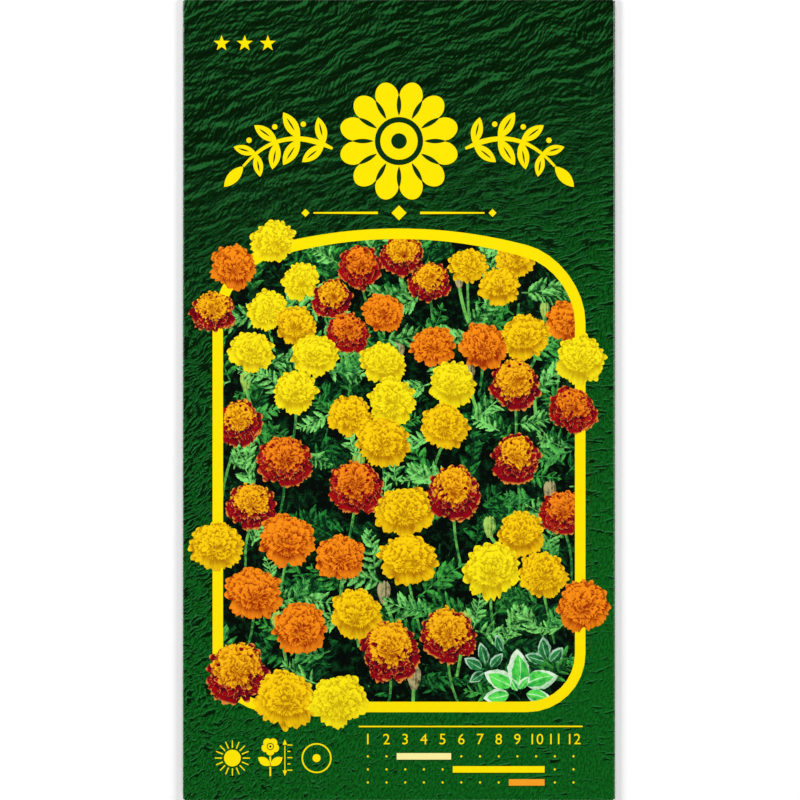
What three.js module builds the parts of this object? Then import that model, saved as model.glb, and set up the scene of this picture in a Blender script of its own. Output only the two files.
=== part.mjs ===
// A sealed paper packet of marigold seeds, lying on its back with the printed front up.
// One die-cut sheet makes the whole envelope: the front panel has a back panel folded round its
// right edge, a narrow seam flap round its left edge, and a flap at the bottom and at the top.
// Millimetres; +X across the front to its right, +Y to its top, +Z up out of the printed front.
// The origin is on the surface that the packet lies on, under the middle of its outline.
import * as THREE from "three";

// The envelope's outline and its sheet.
const WIDTH = 86;
const HEIGHT = 160;
const PAPER = 0.125;
const GLUE = 0.125;

// How the sheet is folded: the long fold between front and back, and the depth of each flap.
const LONG_FOLD_RADIUS = 0.375;
const SEAM_FLAP = 12;
const BOTTOM_FLAP = 18;
const TOP_FLAP = 24;
const FLAP_SLANT = 0.35;
const FLAP_CORNER = 4;
const BACK_PANEL_INSET = 1;

// The seeds lift the front panel, and the back panel sags between the two end flaps.
const BULGE = 2.6;
const BULGE_RUN_SIDE = 34;
const BULGE_RUN_BOTTOM = 46;
const BULGE_RUN_TOP = 74;
const SAG_CLEARANCE = 4;
const SAG_RUN = 14;

// Glue is rolled on short of each flap's edges.
const GLUE_MARGIN = 2;

// Marigold achenes: a slender body and, at one end, the brush of bristles that carried it.
const SEED_COUNT = 48;
const SEED_BODY = 7.5;
const SEED_RADIUS = 0.42;
const BRUSH_LENGTH = 3;
const BRUSH_RADIUS = 0.75;
const BRUSH_HOLLOW = 0.3;
const SEED_SIDES = 6;
const SEED_CLEARANCE = 0.3;
const SEED_DRAW = 20;
const SEED_CROWDING = 1.5;

// Levels of the layers' middle surfaces, counted up from the surface that the packet lies on.
const FLAP_LEVEL = PAPER / 2;
const BACK_LEVEL = FLAP_LEVEL + PAPER + GLUE;
const SEAM_LEVEL = BACK_LEVEL + PAPER + GLUE;
const FRONT_LEVEL = BACK_LEVEL + 2 * LONG_FOLD_RADIUS;

// Each fold is half a turn between the front panel's level and that of the layer behind it.
const SEAM_FOLD_RADIUS = (FRONT_LEVEL - SEAM_LEVEL) / 2;
const END_FOLD_RADIUS = (FRONT_LEVEL - FLAP_LEVEL) / 2;

// Where the front panel stops and its folds start.
const FRONT_RIGHT = WIDTH / 2 - PAPER / 2 - LONG_FOLD_RADIUS;
const FRONT_LEFT = -(WIDTH / 2 - PAPER / 2 - SEAM_FOLD_RADIUS);
const FRONT_TOP = HEIGHT / 2 - PAPER / 2 - END_FOLD_RADIUS;
const FRONT_BOTTOM = -FRONT_TOP;

// Facets: cells along each stretch of the sheet.
const FRONT_COLUMNS = 20;
const FRONT_ROWS = 32;
const FOLD_CELLS = 6;
const BACK_COLUMNS = 14;
const SEAM_COLUMNS = 2;
const FLAP_ROWS = 8;

const smooth = (distance, run) => THREE.MathUtils.smoothstep(distance, 0, run);

// How far the front panel stands above its folded edges.
function bulge(x, y) {
  const sides = smooth(x - FRONT_LEFT, BULGE_RUN_SIDE) * smooth(FRONT_RIGHT - x, BULGE_RUN_SIDE);
  const ends = smooth(y - FRONT_BOTTOM, BULGE_RUN_BOTTOM) * smooth(FRONT_TOP - y, BULGE_RUN_TOP);
  return BULGE * sides * ends;
}

// How far the back panel drops from its level over the end flaps to the surface below.
function sag(x, y) {
  const left = x - (FRONT_LEFT + SEAM_FLAP + SAG_CLEARANCE);
  const right = FRONT_RIGHT - SAG_CLEARANCE - x;
  const bottom = y - (FRONT_BOTTOM + BOTTOM_FLAP + SAG_CLEARANCE);
  const top = FRONT_TOP - TOP_FLAP - SAG_CLEARANCE - y;
  const sides = smooth(left, SAG_RUN) * smooth(right, SAG_RUN);
  const ends = smooth(bottom, SAG_RUN) * smooth(top, SAG_RUN);
  return (BACK_LEVEL - FLAP_LEVEL) * sides * ends;
}

// The unit normal, facing up, of the surface z = height(x, y).
function upNormal(height, x, y) {
  const step = 0.01;
  const slopeX = (height(x + step, y) - height(x - step, y)) / (2 * step);
  const slopeY = (height(x, y + step) - height(x, y - step)) / (2 * step);
  return new THREE.Vector3(-slopeX, -slopeY, 1).normalize();
}

// Follows the sheet over a fold: out past the panel's edge, down, and the printed side's turn.
function overFold(travel, radius) {
  const arc = Math.PI * radius;
  if (travel >= arc) {
    return { out: arc - travel, drop: 2 * radius, turnOut: 0, turnUp: -1 };
  }
  const turn = travel / radius;
  return {
    out: radius * Math.sin(turn),
    drop: radius * (1 - Math.cos(turn)),
    turnOut: Math.sin(turn),
    turnUp: Math.cos(turn),
  };
}

// Half the width that an end flap loses at a depth from its fold: slanted sides, round corners.
function flapLoss(depth, flapDepth) {
  const intoCorner = Math.max(0, depth - (flapDepth - FLAP_CORNER));
  const round = FLAP_CORNER - Math.sqrt(FLAP_CORNER ** 2 - intoCorner ** 2);
  return FLAP_SLANT * depth + round;
}

// The lines of the blank's grid: distances along a panel, and travel past its edge on a flap.
function panelLines(from, to, cells) {
  return Array.from({ length: cells + 1 }, (_, i) => ({ at: from + ((to - from) * i) / cells }));
}

function flapLines(edge, radius, depth, cells) {
  const arc = Math.PI * radius;
  const fold = Array.from({ length: FOLD_CELLS }, (_, i) => (arc * (i + 1)) / FOLD_CELLS);
  const flat = Array.from({ length: cells }, (_, i) => arc + (depth * (i + 1)) / cells);
  return [...fold, ...flat].map((travel) => ({ at: edge, travel }));
}

const BACK_DEPTH = FRONT_RIGHT - FRONT_LEFT - BACK_PANEL_INSET;

const columns = [
  ...flapLines(FRONT_LEFT, SEAM_FOLD_RADIUS, SEAM_FLAP, SEAM_COLUMNS).reverse(),
  ...panelLines(FRONT_LEFT, FRONT_RIGHT, FRONT_COLUMNS),
  ...flapLines(FRONT_RIGHT, LONG_FOLD_RADIUS, BACK_DEPTH, BACK_COLUMNS),
];
const rows = [
  ...flapLines(FRONT_BOTTOM, END_FOLD_RADIUS, BOTTOM_FLAP, FLAP_ROWS).reverse(),
  ...panelLines(FRONT_BOTTOM, FRONT_TOP, FRONT_ROWS),
  ...flapLines(FRONT_TOP, END_FOLD_RADIUS, TOP_FLAP, FLAP_ROWS),
];

// The sheet's middle surface, and the direction that its printed side faces, on the front panel.
function onFront(x, y) {
  return {
    point: new THREE.Vector3(x, y, FRONT_LEVEL + bulge(x, y)),
    printed: upNormal(bulge, x, y),
  };
}

// The same past the front panel's left or right edge, on the seam flap or the back panel.
function onSide(column, y) {
  const isBack = column.at === FRONT_RIGHT;
  const outward = isBack ? 1 : -1;
  const fold = overFold(column.travel, isBack ? LONG_FOLD_RADIUS : SEAM_FOLD_RADIUS);
  const x = column.at + outward * fold.out;
  if (isBack && fold.turnUp === -1) {
    const below = (px, py) => -sag(px, py);
    return {
      point: new THREE.Vector3(x, y, BACK_LEVEL - sag(x, y)),
      printed: upNormal(below, x, y).negate(),
    };
  }
  return {
    point: new THREE.Vector3(x, y, FRONT_LEVEL - fold.drop),
    printed: new THREE.Vector3(outward * fold.turnOut, 0, fold.turnUp),
  };
}

// The same past the bottom or top edge, on an end flap.
function onEnd(x, row) {
  const isTop = row.at === FRONT_TOP;
  const outward = isTop ? 1 : -1;
  const fold = overFold(row.travel, END_FOLD_RADIUS);
  const depth = Math.max(0, row.travel - Math.PI * END_FOLD_RADIUS);
  const middle = (FRONT_LEFT + FRONT_RIGHT) / 2;
  const half = (FRONT_RIGHT - FRONT_LEFT) / 2;
  const narrowed = (half - flapLoss(depth, isTop ? TOP_FLAP : BOTTOM_FLAP)) / half;
  return {
    point: new THREE.Vector3(
      middle + (x - middle) * narrowed,
      row.at + outward * fold.out,
      FRONT_LEVEL - fold.drop,
    ),
    printed: new THREE.Vector3(0, outward * fold.turnOut, fold.turnUp),
  };
}

const onPanel = (line) => line.travel === undefined;

function onSheet(column, row) {
  if (onPanel(column) && onPanel(row)) return onFront(column.at, row.at);
  if (onPanel(row)) return onSide(column, row.at);
  return onEnd(column.at, row);
}

// The folded sheet as one closed solid: printed face, inner face, and a wall along its cut edge.
function foldedSheet() {
  const inBlank = (i, j) => onPanel(columns[i]) || onPanel(rows[j]);
  const cellInBlank = (i, j) =>
    i >= 0 && j >= 0 && i + 1 < columns.length && j + 1 < rows.length &&
    inBlank(i, j) && inBlank(i + 1, j) && inBlank(i, j + 1) && inBlank(i + 1, j + 1);
  const positions = [];
  const triangles = [];
  const vertexAt = new Map();

  function vertex(i, j) {
    const key = `${i},${j}`;
    if (!vertexAt.has(key)) {
      const { point, printed } = onSheet(columns[i], rows[j]);
      vertexAt.set(key, positions.length / 3);
      positions.push(...point.clone().addScaledVector(printed, PAPER / 2));
      positions.push(...point.clone().addScaledVector(printed, -PAPER / 2));
    }
    return vertexAt.get(key);
  }

  function wall(from, to) {
    triangles.push(from + 1, to + 1, to, from + 1, to, from);
  }

  for (let i = 0; i + 1 < columns.length; i++) {
    for (let j = 0; j + 1 < rows.length; j++) {
      if (!cellInBlank(i, j)) continue;
      const corner = [vertex(i, j), vertex(i + 1, j), vertex(i + 1, j + 1), vertex(i, j + 1)];
      const [a, b, c, d] = corner;
      triangles.push(a, b, c, a, c, d);
      triangles.push(a + 1, c + 1, b + 1, a + 1, d + 1, c + 1);
      if (!cellInBlank(i, j - 1)) wall(a, b);
      if (!cellInBlank(i + 1, j)) wall(b, c);
      if (!cellInBlank(i, j + 1)) wall(c, d);
      if (!cellInBlank(i - 1, j)) wall(d, a);
    }
  }
  const geometry = new THREE.BufferGeometry();
  geometry.setAttribute("position", new THREE.Float32BufferAttribute(positions, 3));
  geometry.setIndex(triangles);
  geometry.computeVertexNormals();
  return geometry;
}

// A film of glue: a flat outline of straight sides, as thick as the gap that it fills.
function glueFilm(corners) {
  const outline = new THREE.Shape(corners.map(([x, y]) => new THREE.Vector2(x, y)));
  return new THREE.ExtrudeGeometry(outline, { depth: GLUE, bevelEnabled: false });
}

// The film under an end flap follows the flap's slanted sides.
function endFlapGlue(isTop) {
  const flapDepth = isTop ? TOP_FLAP : BOTTOM_FLAP;
  const middle = (FRONT_LEFT + FRONT_RIGHT) / 2;
  const half = (FRONT_RIGHT - FRONT_LEFT) / 2;
  const near = GLUE_MARGIN;
  const far = flapDepth - GLUE_MARGIN;
  const nearHalf = half - flapLoss(near, flapDepth) - GLUE_MARGIN;
  const farHalf = half - flapLoss(far, flapDepth) - GLUE_MARGIN;
  const y = (depth) => (isTop ? FRONT_TOP - depth : FRONT_BOTTOM + depth);
  const corners = [
    [middle - nearHalf, y(near)],
    [middle + nearHalf, y(near)],
    [middle + farHalf, y(far)],
    [middle - farHalf, y(far)],
  ];
  return glueFilm(isTop ? corners.reverse() : corners);
}

function seamGlue() {
  const left = FRONT_LEFT + BACK_PANEL_INSET + GLUE_MARGIN;
  const right = FRONT_LEFT + SEAM_FLAP - GLUE_MARGIN;
  const bottom = FRONT_BOTTOM + GLUE_MARGIN;
  const top = FRONT_TOP - GLUE_MARGIN;
  return glueFilm([[left, bottom], [right, bottom], [right, top], [left, top]]);
}

// One achene, turned about its own length, with its middle at the origin and its brush at +Y.
function seedShape() {
  const tail = -(SEED_BODY + BRUSH_LENGTH) / 2;
  const neck = tail + SEED_BODY;
  const tip = neck + BRUSH_LENGTH;
  const profile = [
    [0, tail],
    [SEED_RADIUS * 0.45, tail + SEED_BODY * 0.03],
    [SEED_RADIUS * 0.85, tail + SEED_BODY * 0.35],
    [SEED_RADIUS, tail + SEED_BODY * 0.75],
    [SEED_RADIUS * 0.7, neck],
    [BRUSH_RADIUS * 0.75, neck + BRUSH_LENGTH * 0.5],
    [BRUSH_RADIUS, tip],
    [0, tip - BRUSH_HOLLOW],
  ];
  return new THREE.LatheGeometry(profile.map(([r, y]) => new THREE.Vector2(r, y)), SEED_SIDES);
}

// A repeatable draw of numbers from 0 to 1.
function drawer(seed) {
  let state = seed;
  return () => {
    state = (state + 0x6d2b79f5) | 0;
    let mixed = Math.imul(state ^ (state >>> 15), 1 | state);
    mixed = (mixed + Math.imul(mixed ^ (mixed >>> 7), 61 | mixed)) ^ mixed;
    return ((mixed ^ (mixed >>> 14)) >>> 0) / 4294967296;
  };
}

// The level of the back panel's inner face, and the height of the pocket above it.
const pocketFloor = (x, y) => BACK_LEVEL - sag(x, y) + PAPER / 2;
const pocketHeight = (x, y) => FRONT_LEVEL + bulge(x, y) - PAPER / 2 - pocketFloor(x, y);

// The shortest distance between two seeds' axes, taken at points along both.
function axisGap(one, other) {
  let gap = Infinity;
  for (const p of one.axis) {
    for (const q of other.axis) gap = Math.min(gap, p.distanceTo(q));
  }
  return gap;
}

// Places for the seeds: loose on the back panel, more of them low down, none crossing another.
function scatterSeeds() {
  const next = drawer(SEED_DRAW);
  const halfLength = (SEED_BODY + BRUSH_LENGTH) / 2;
  const room = 2 * BRUSH_RADIUS + 2 * SEED_CLEARANCE;
  const apart = 2 * BRUSH_RADIUS + SEED_CLEARANCE;
  const along = [-1, -0.75, -0.5, -0.25, 0, 0.25, 0.5, 0.75, 1];
  const placed = [];
  while (placed.length < SEED_COUNT) {
    const x = THREE.MathUtils.lerp(FRONT_LEFT, FRONT_RIGHT, next());
    const y = THREE.MathUtils.lerp(FRONT_BOTTOM, FRONT_TOP, next() ** SEED_CROWDING);
    const turn = next() * 2 * Math.PI;
    const reach = new THREE.Vector2(-Math.sin(turn), Math.cos(turn)).multiplyScalar(halfLength);
    const axis = along.map((k) => new THREE.Vector2(x, y).addScaledVector(reach, k));
    const seed = { x, y, turn, axis };
    if (axis.some((p) => pocketHeight(p.x, p.y) < room)) continue;
    if (placed.some((other) => axisGap(seed, other) < apart)) continue;
    const floor = Math.max(...axis.map((p) => pocketFloor(p.x, p.y)));
    placed.push({ ...seed, z: floor + SEED_CLEARANCE + BRUSH_RADIUS });
  }
  return placed;
}

const coatedPaper = new THREE.MeshStandardMaterial({ color: 0x145a26, roughness: 0.42, metalness: 0 });
const driedGlue = new THREE.MeshStandardMaterial({ color: 0xe9e2c8, roughness: 0.5, metalness: 0 });
const seedHusk = new THREE.MeshStandardMaterial({ color: 0x2b211a, roughness: 0.8, metalness: 0 });

function named(name, geometry, material, x = 0, y = 0, z = 0) {
  const mesh = new THREE.Mesh(geometry, material);
  mesh.name = name;
  mesh.position.set(x, y, z);
  return mesh;
}

const packet = new THREE.Group();
packet.add(named("folded_sheet", foldedSheet(), coatedPaper));
packet.add(named("seam_glue", seamGlue(), driedGlue, 0, 0, BACK_LEVEL + PAPER / 2));
packet.add(named("bottom_flap_glue", endFlapGlue(false), driedGlue, 0, 0, FLAP_LEVEL + PAPER / 2));
packet.add(named("top_flap_glue", endFlapGlue(true), driedGlue, 0, 0, FLAP_LEVEL + PAPER / 2));

const seeds = new THREE.Group();
const seed = seedShape();
scatterSeeds().forEach((place, k) => {
  const name = `seed_${String(k + 1).padStart(2, "0")}`;
  const mesh = named(name, seed, seedHusk, place.x, place.y, place.z);
  mesh.rotation.z = place.turn;
  seeds.add(mesh);
});
packet.add(seeds);

export default packet;
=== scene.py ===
# A sealed paper packet of marigold seeds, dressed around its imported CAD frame.
import math
import random

import bmesh
import bpy
import numpy as np
from mathutils import Matrix, Vector
from mathutils.bvhtree import BVHTree
from mathutils.geometry import delaunay_2d_cdt


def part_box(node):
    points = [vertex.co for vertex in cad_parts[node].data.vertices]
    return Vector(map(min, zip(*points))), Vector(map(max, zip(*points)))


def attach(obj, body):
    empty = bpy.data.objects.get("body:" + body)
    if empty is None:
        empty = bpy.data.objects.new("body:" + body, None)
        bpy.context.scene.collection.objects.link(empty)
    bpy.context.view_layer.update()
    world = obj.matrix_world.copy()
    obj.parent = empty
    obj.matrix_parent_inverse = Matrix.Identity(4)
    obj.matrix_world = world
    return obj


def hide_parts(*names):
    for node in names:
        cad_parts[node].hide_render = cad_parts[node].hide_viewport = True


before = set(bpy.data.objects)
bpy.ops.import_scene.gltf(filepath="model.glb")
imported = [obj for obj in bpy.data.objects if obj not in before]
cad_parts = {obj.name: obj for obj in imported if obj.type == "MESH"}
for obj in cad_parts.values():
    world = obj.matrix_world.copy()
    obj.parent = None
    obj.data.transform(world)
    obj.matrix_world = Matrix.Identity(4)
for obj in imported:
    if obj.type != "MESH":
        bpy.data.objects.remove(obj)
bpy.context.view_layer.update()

# The flat blank. The whole envelope is one die-cut sheet of paper, coated on its printed side.
# It is laid out flat here, in millimetres with the front panel's middle at zero, and is folded
# further down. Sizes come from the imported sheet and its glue, and levels count up from the table.
MM = 0.001
sheet_low, sheet_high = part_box("folded_sheet")
glue_low, glue_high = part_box("bottom_flap_glue")
WIDTH = (sheet_high.x - sheet_low.x) / MM
HEIGHT = (sheet_high.y - sheet_low.y) / MM
PAPER = glue_low.z / MM
GLUE = (glue_high.z - glue_low.z) / MM

LONG_FOLD_RADIUS = 3 * PAPER
FLAP_LEVEL = PAPER / 2
BACK_LEVEL = FLAP_LEVEL + PAPER + GLUE
SEAM_LEVEL = BACK_LEVEL + PAPER + GLUE
FRONT_LEVEL = BACK_LEVEL + 2 * LONG_FOLD_RADIUS
SEAM_FOLD_RADIUS = (FRONT_LEVEL - SEAM_LEVEL) / 2
END_FOLD_RADIUS = (FRONT_LEVEL - FLAP_LEVEL) / 2
LONG_FOLD, SEAM_FOLD, END_FOLD = [
    math.pi * radius for radius in (LONG_FOLD_RADIUS, SEAM_FOLD_RADIUS, END_FOLD_RADIUS)]

RIGHT = WIDTH / 2 - PAPER / 2 - LONG_FOLD_RADIUS
LEFT = -(WIDTH / 2 - PAPER / 2 - SEAM_FOLD_RADIUS)
TOP = HEIGHT / 2 - PAPER / 2 - END_FOLD_RADIUS
BOTTOM = -TOP
SEAM_FLAP = 12.0
BOTTOM_FLAP = 18.0
TOP_FLAP = 24.0
FLAP_SLANT = 0.35
FLAP_CORNER = 4.0
BACK_START = RIGHT + LONG_FOLD
BACK_SHORTER = 1.0
BACK_EDGE = BACK_START + (RIGHT - LEFT - BACK_SHORTER)
SEAM_EDGE = LEFT - SEAM_FOLD - SEAM_FLAP


def polar(x, y, reach, turn):
    """The point at this reach and turn from x, y."""
    return x + reach * math.cos(turn), y + reach * math.sin(turn)


def end_flap(edge, outward, depth):
    """An end flap's outline, from the front panel's right corner round to its left one."""
    fold_end = edge + outward * END_FOLD
    corner = (RIGHT - FLAP_SLANT * (depth - FLAP_CORNER) - FLAP_CORNER,
              fold_end + outward * (depth - FLAP_CORNER))
    half = [(RIGHT, edge), (RIGHT, fold_end)]
    half += [polar(*corner, FLAP_CORNER, outward * math.radians(15 * k)) for k in range(7)]
    return half + [(LEFT + RIGHT - x, y) for x, y in reversed(half)]


top_flap, bottom_flap = end_flap(TOP, 1, TOP_FLAP), end_flap(BOTTOM, -1, BOTTOM_FLAP)
blank = [(BACK_EDGE, BOTTOM), (BACK_EDGE, TOP)] + top_flap
blank += [(SEAM_EDGE, TOP), (SEAM_EDGE, BOTTOM)] + bottom_flap[::-1]

# Ink on the blank. Offset printing lays flat shapes of ink side by side on the white coating.
# Each shape has an outline, a kind of ink, a light and a deep colour, and its own small frame,
# u across and v along it, which its ink's pattern follows. A later shape covers earlier ones.
shapes = []


def linear(hex_colour):
    """An sRGB hex colour as the linear numbers that Blender takes."""
    channels = [int(hex_colour[i:i + 2], 16) / 255 for i in (1, 3, 5)]
    return [c / 12.92 if c <= 0.04045 else ((c + 0.055) / 1.055) ** 2.4 for c in channels] + [1]


def lay(ink, outline, light="#000000", deep=None, at=(0, 0), along=(0, 1), half_width=1.0,
        tone=1.0, lip=0.0, throat=0.0, seed=0.0, pieces=None):
    """Lays a shape of ink. along reaches from v = 0 to v = 1, and half_width from u = 0 to 1."""
    shapes.append({
        "ink": ink, "pieces": [outline] if pieces is None else pieces, "light": linear(light),
        "deep": linear(deep or light), "at": at, "along": along, "half_width": half_width,
        "shade": (tone, lip, throat), "seed": seed})


# The ground: deep green ink in an embossed ripple, fine and dark at the top of the front and
# flatter, with sparse cracks, at its foot. It bleeds over every fold onto the flaps and the
# edges of the back, so no white shows where the sheet is cut and folded.
lay("ground", blank)

# The picture's window and its frame line: a bed of blossoms behind a yellow line 2.1 mm wide,
# which has round corners at the foot and a shallow arch at the top.
YELLOW = "#FFE600"
FRAME_LINE = 2.1
WINDOW_HALF = 35.0
WINDOW_FOOT = -60.0
WINDOW_SHOULDER = 25.0
WINDOW_CORNER = 9.5
WINDOW_ARCH = 7.0
CORNER_STEPS = 8


def rounded_box(x, y, width, height, radius, steps=6):
    """An oblong with round corners, by its middle."""
    outline = []
    for side_x, side_y, start in ((1, -1, -90), (1, 1, 0), (-1, 1, 90), (-1, -1, 180)):
        middle = (x + side_x * (width / 2 - radius), y + side_y * (height / 2 - radius))
        outline += [polar(*middle, radius, math.radians(start + 90 * k / steps))
                    for k in range(steps + 1)]
    return outline


def window_outline(grow):
    """The window's outline, grown by a margin: a rounded oblong with its upper edge arched."""
    half, radius = WINDOW_HALF + grow, WINDOW_CORNER + grow
    outline = rounded_box(0, (WINDOW_SHOULDER + WINDOW_FOOT) / 2, 2 * half,
                          WINDOW_SHOULDER - WINDOW_FOOT + 2 * grow, radius, CORNER_STEPS)
    flat = half - radius
    two_corners = 2 * (CORNER_STEPS + 1)
    outline[two_corners:two_corners] = [
        (flat - flat * k / 10, WINDOW_SHOULDER + grow) for k in range(1, 20)]
    return [(x, y + WINDOW_ARCH * (1 - (x / half) ** 2) if y > 0 else y) for x, y in outline]


lay("flat", window_outline(FRAME_LINE), YELLOW)
window_shape = len(shapes)
lay("shade", window_outline(0), "#0A4322", "#010207")

# The bed's foliage: marigold leaves are feathered, with narrow toothed leaflets in pairs along
# a rib. Those deep in the bed are printed nearly black and the ones on top a clear green.
draw = random.Random(11)


def strip(points, widths):
    """A band's outline along a line of points, with its full width at each of them."""
    left, right = [], []
    for k, (x, y) in enumerate(points):
        ahead = Vector(points[min(k + 1, len(points) - 1)])
        side = (ahead - Vector(points[max(k - 1, 0)])).normalized() * widths[k] / 2
        left.append((x - side.y, y + side.x))
        right.append((x + side.y, y - side.x))
    return right + left[::-1]


def bow(start, end, sag, steps):
    """Points along a shallow arc, sagging to the right of the way from start to end."""
    start, end = Vector(start), Vector(end)
    side = Vector((end.y - start.y, start.x - end.x)).normalized() * sag
    shares = [k / steps for k in range(steps + 1)]
    return [tuple(start.lerp(end, s) + side * 4 * s * (1 - s)) for s in shares]


def leaflet(foot, tip, width, inks, tone, teeth):
    """One leaflet, broadest below its middle, with a few saw teeth if it is on top."""
    edge = [(0.8, 0.25), (0.9, 0.55)]
    if teeth:
        edge = [(0.55, 0.14), (0.95, 0.36), (0.72, 0.42), (0.85, 0.62), (0.55, 0.68), (0.5, 0.82)]
    along = Vector(tip) - Vector(foot)
    across = Vector((along.y, -along.x)).normalized() * width / 2
    ring = [(0, 0)] + edge + [(0, 1)] + [(-u, v) for u, v in reversed(edge)]
    outline = [tuple(Vector(foot) + across * u + along * v) for u, v in ring]
    lay("leaf", outline, *inks, foot, tuple(along), width / 2, tone, seed=draw.random() * 50)


def leaf(x, y, turn, length, inks, tone, teeth):
    """A feathered leaf on a bowed rib, from its foot at x, y."""
    reach = Vector((math.cos(turn), math.sin(turn))) * length
    pairs = 6
    rib = bow((x, y), (x + reach.x, y + reach.y), draw.uniform(-0.14, 0.14) * length, pairs + 1)
    lay("leaf", strip(rib, [0.3, 0.3, 0.28, 0.26, 0.22, 0.18, 0.14, 0.1]), *inks, (x, y),
        tuple(reach), 0.6, tone)
    for k in range(1, pairs + 1):
        for side in (-1, 1):
            size = length * 0.36 * math.sin(math.pi * (0.25 + 0.62 * k / pairs))
            size *= draw.uniform(0.75, 1.15)
            tip = polar(*rib[k], size, turn + side * math.radians(draw.uniform(26, 66)))
            leaflet(rib[k], tip, size * draw.uniform(0.3, 0.46), inks,
                    tone * draw.uniform(0.62, 1.15), teeth)
    leaflet(rib[-2], rib[-1], length * 0.08, inks, tone, False)


# The blossoms' places: a seeded scatter over the bed in which like colours grow in groups and
# neighbours overlap a little, and a few listed ones that break over the frame line.
LEMON, GOLDEN, ORANGE, BICOLOUR, MAHOGANY = range(5)
BED_BLOSSOMS = 46
OVER_THE_FRAME = [
    (-33.0, 26.5, 4.8, ORANGE), (-25.0, 31.5, 4.6, LEMON), (-37.0, 17.5, 4.6, BICOLOUR),
    (36.2, 8.0, 5.2, LEMON), (34.5, -2.0, 5.0, MAHOGANY), (36.6, -41.0, 5.5, ORANGE),
    (-36.3, -29.0, 5.5, GOLDEN), (-32.3, -54.5, 6.5, BICOLOUR), (-22.5, -59.5, 6.4, GOLDEN),
    (-12.2, -59.8, 5.8, LEMON)]
PALE_LEAVES = (23.5, -53.0)
PALE_LEAVES_REACH = 7.5
GROUPS = [
    (-24, 12, (LEMON, LEMON, GOLDEN)), (-2, 20, (MAHOGANY, BICOLOUR, ORANGE)),
    (20, 18, (GOLDEN, ORANGE, GOLDEN)), (-22, -10, (BICOLOUR, MAHOGANY, GOLDEN)),
    (4, 0, (LEMON, GOLDEN, ORANGE)), (24, -8, (BICOLOUR, BICOLOUR, MAHOGANY)),
    (-20, -38, (ORANGE, GOLDEN, LEMON)), (6, -26, (ORANGE, BICOLOUR, GOLDEN)),
    (24, -36, (LEMON, GOLDEN, MAHOGANY)), (8, -52, (BICOLOUR, ORANGE, MAHOGANY))]

blossoms = []
for _ in range(4000):
    x = draw.uniform(-WINDOW_HALF + 1, WINDOW_HALF - 1)
    y = draw.uniform(WINDOW_FOOT + 3, WINDOW_SHOULDER + 5)
    near = (WINDOW_SHOULDER - y) / (WINDOW_SHOULDER - WINDOW_FOOT)
    radius = draw.uniform(0.9, 1.12) * (4.3 + 1.8 * near)
    spread = 0.72 + 0.22 * max(near, 0) ** 2
    kind = draw.choice(min(GROUPS, key=lambda group: math.dist((x, y), group[:2]))[2])
    if all(math.dist((x, y), other[:2]) > spread * (radius + other[2])
           for other in blossoms + OVER_THE_FRAME) and \
            math.dist((x, y), PALE_LEAVES) > PALE_LEAVES_REACH + radius:
        blossoms.append((x, y, radius, kind))
    if len(blossoms) == BED_BLOSSOMS:
        break
blossoms.sort(key=lambda place: -place[1])


def scatter_leaves(count, length, inks, tone, teeth):
    """Leaves over the bed, left out where a blossom would hide them."""
    while count:
        x = draw.uniform(-WINDOW_HALF, WINDOW_HALF)
        y = draw.uniform(WINDOW_FOOT, WINDOW_SHOULDER + WINDOW_ARCH)
        turn = draw.uniform(-0.5, math.pi + 0.5)
        size = length * draw.uniform(0.7, 1.2)
        middle = polar(x, y, 0.55 * size, turn)
        if all(math.dist(middle, b[:2]) >= 0.75 * b[2] for b in blossoms + OVER_THE_FRAME):
            leaf(x, y, turn, size, inks, tone * draw.uniform(0.65, 1.1), teeth)
            count -= 1


def stalk(x, y, length, lean, width, tone):
    """A pale green stalk that comes up to x, y from below."""
    foot = (x + lean * length, y - length)
    path = bow(foot, (x, y), draw.uniform(-0.08, 0.08) * length, 6)
    lay("leaf", strip(path, [width * (0.8 + 0.2 * k / 6) for k in range(7)]), "#74C455", "#175F2A",
        foot, (x - foot[0], y - foot[1]), width / 2, tone)


def bud(x, y, size, inks):
    """A closed bud: a ribbed cup that widens out of its stalk and ends in a crown of teeth."""
    stalk(x, y - size, draw.uniform(6, 11), draw.uniform(-0.4, 0.4), 0.7, 0.95)
    side = [(0.26, -1.3), (0.46, -0.85), (0.64, -0.3), (0.7, 0.2), (0.62, 0.66), (0.46, 0.86)]
    crown = [(0.36, 1.08), (0.2, 0.9), (0.04, 1.14), (-0.14, 0.9), (-0.32, 1.06)]
    cup = side + crown + [(-u, v) for u, v in reversed(side)]
    lay("leaf", [(x + size * u, y + size * v) for u, v in cup], *inks, (x, y - 1.3 * size),
        (0, 2.4 * size), size * 0.8, 0.85)
    for lean in (-0.42, 0.05, 0.4):
        rib = [(x + size * lean * u, y + size * v) for u, v in ((0.5, -1.0), (1, -0.2), (1, 0.95))]
        lay("leaf", strip(rib, [0.1, 0.2, 0.16]), *inks, (x, y - 9 * size), (0, 9 * size),
            size * 8, 1.15 - 0.9 * max(lean, 0))


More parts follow.
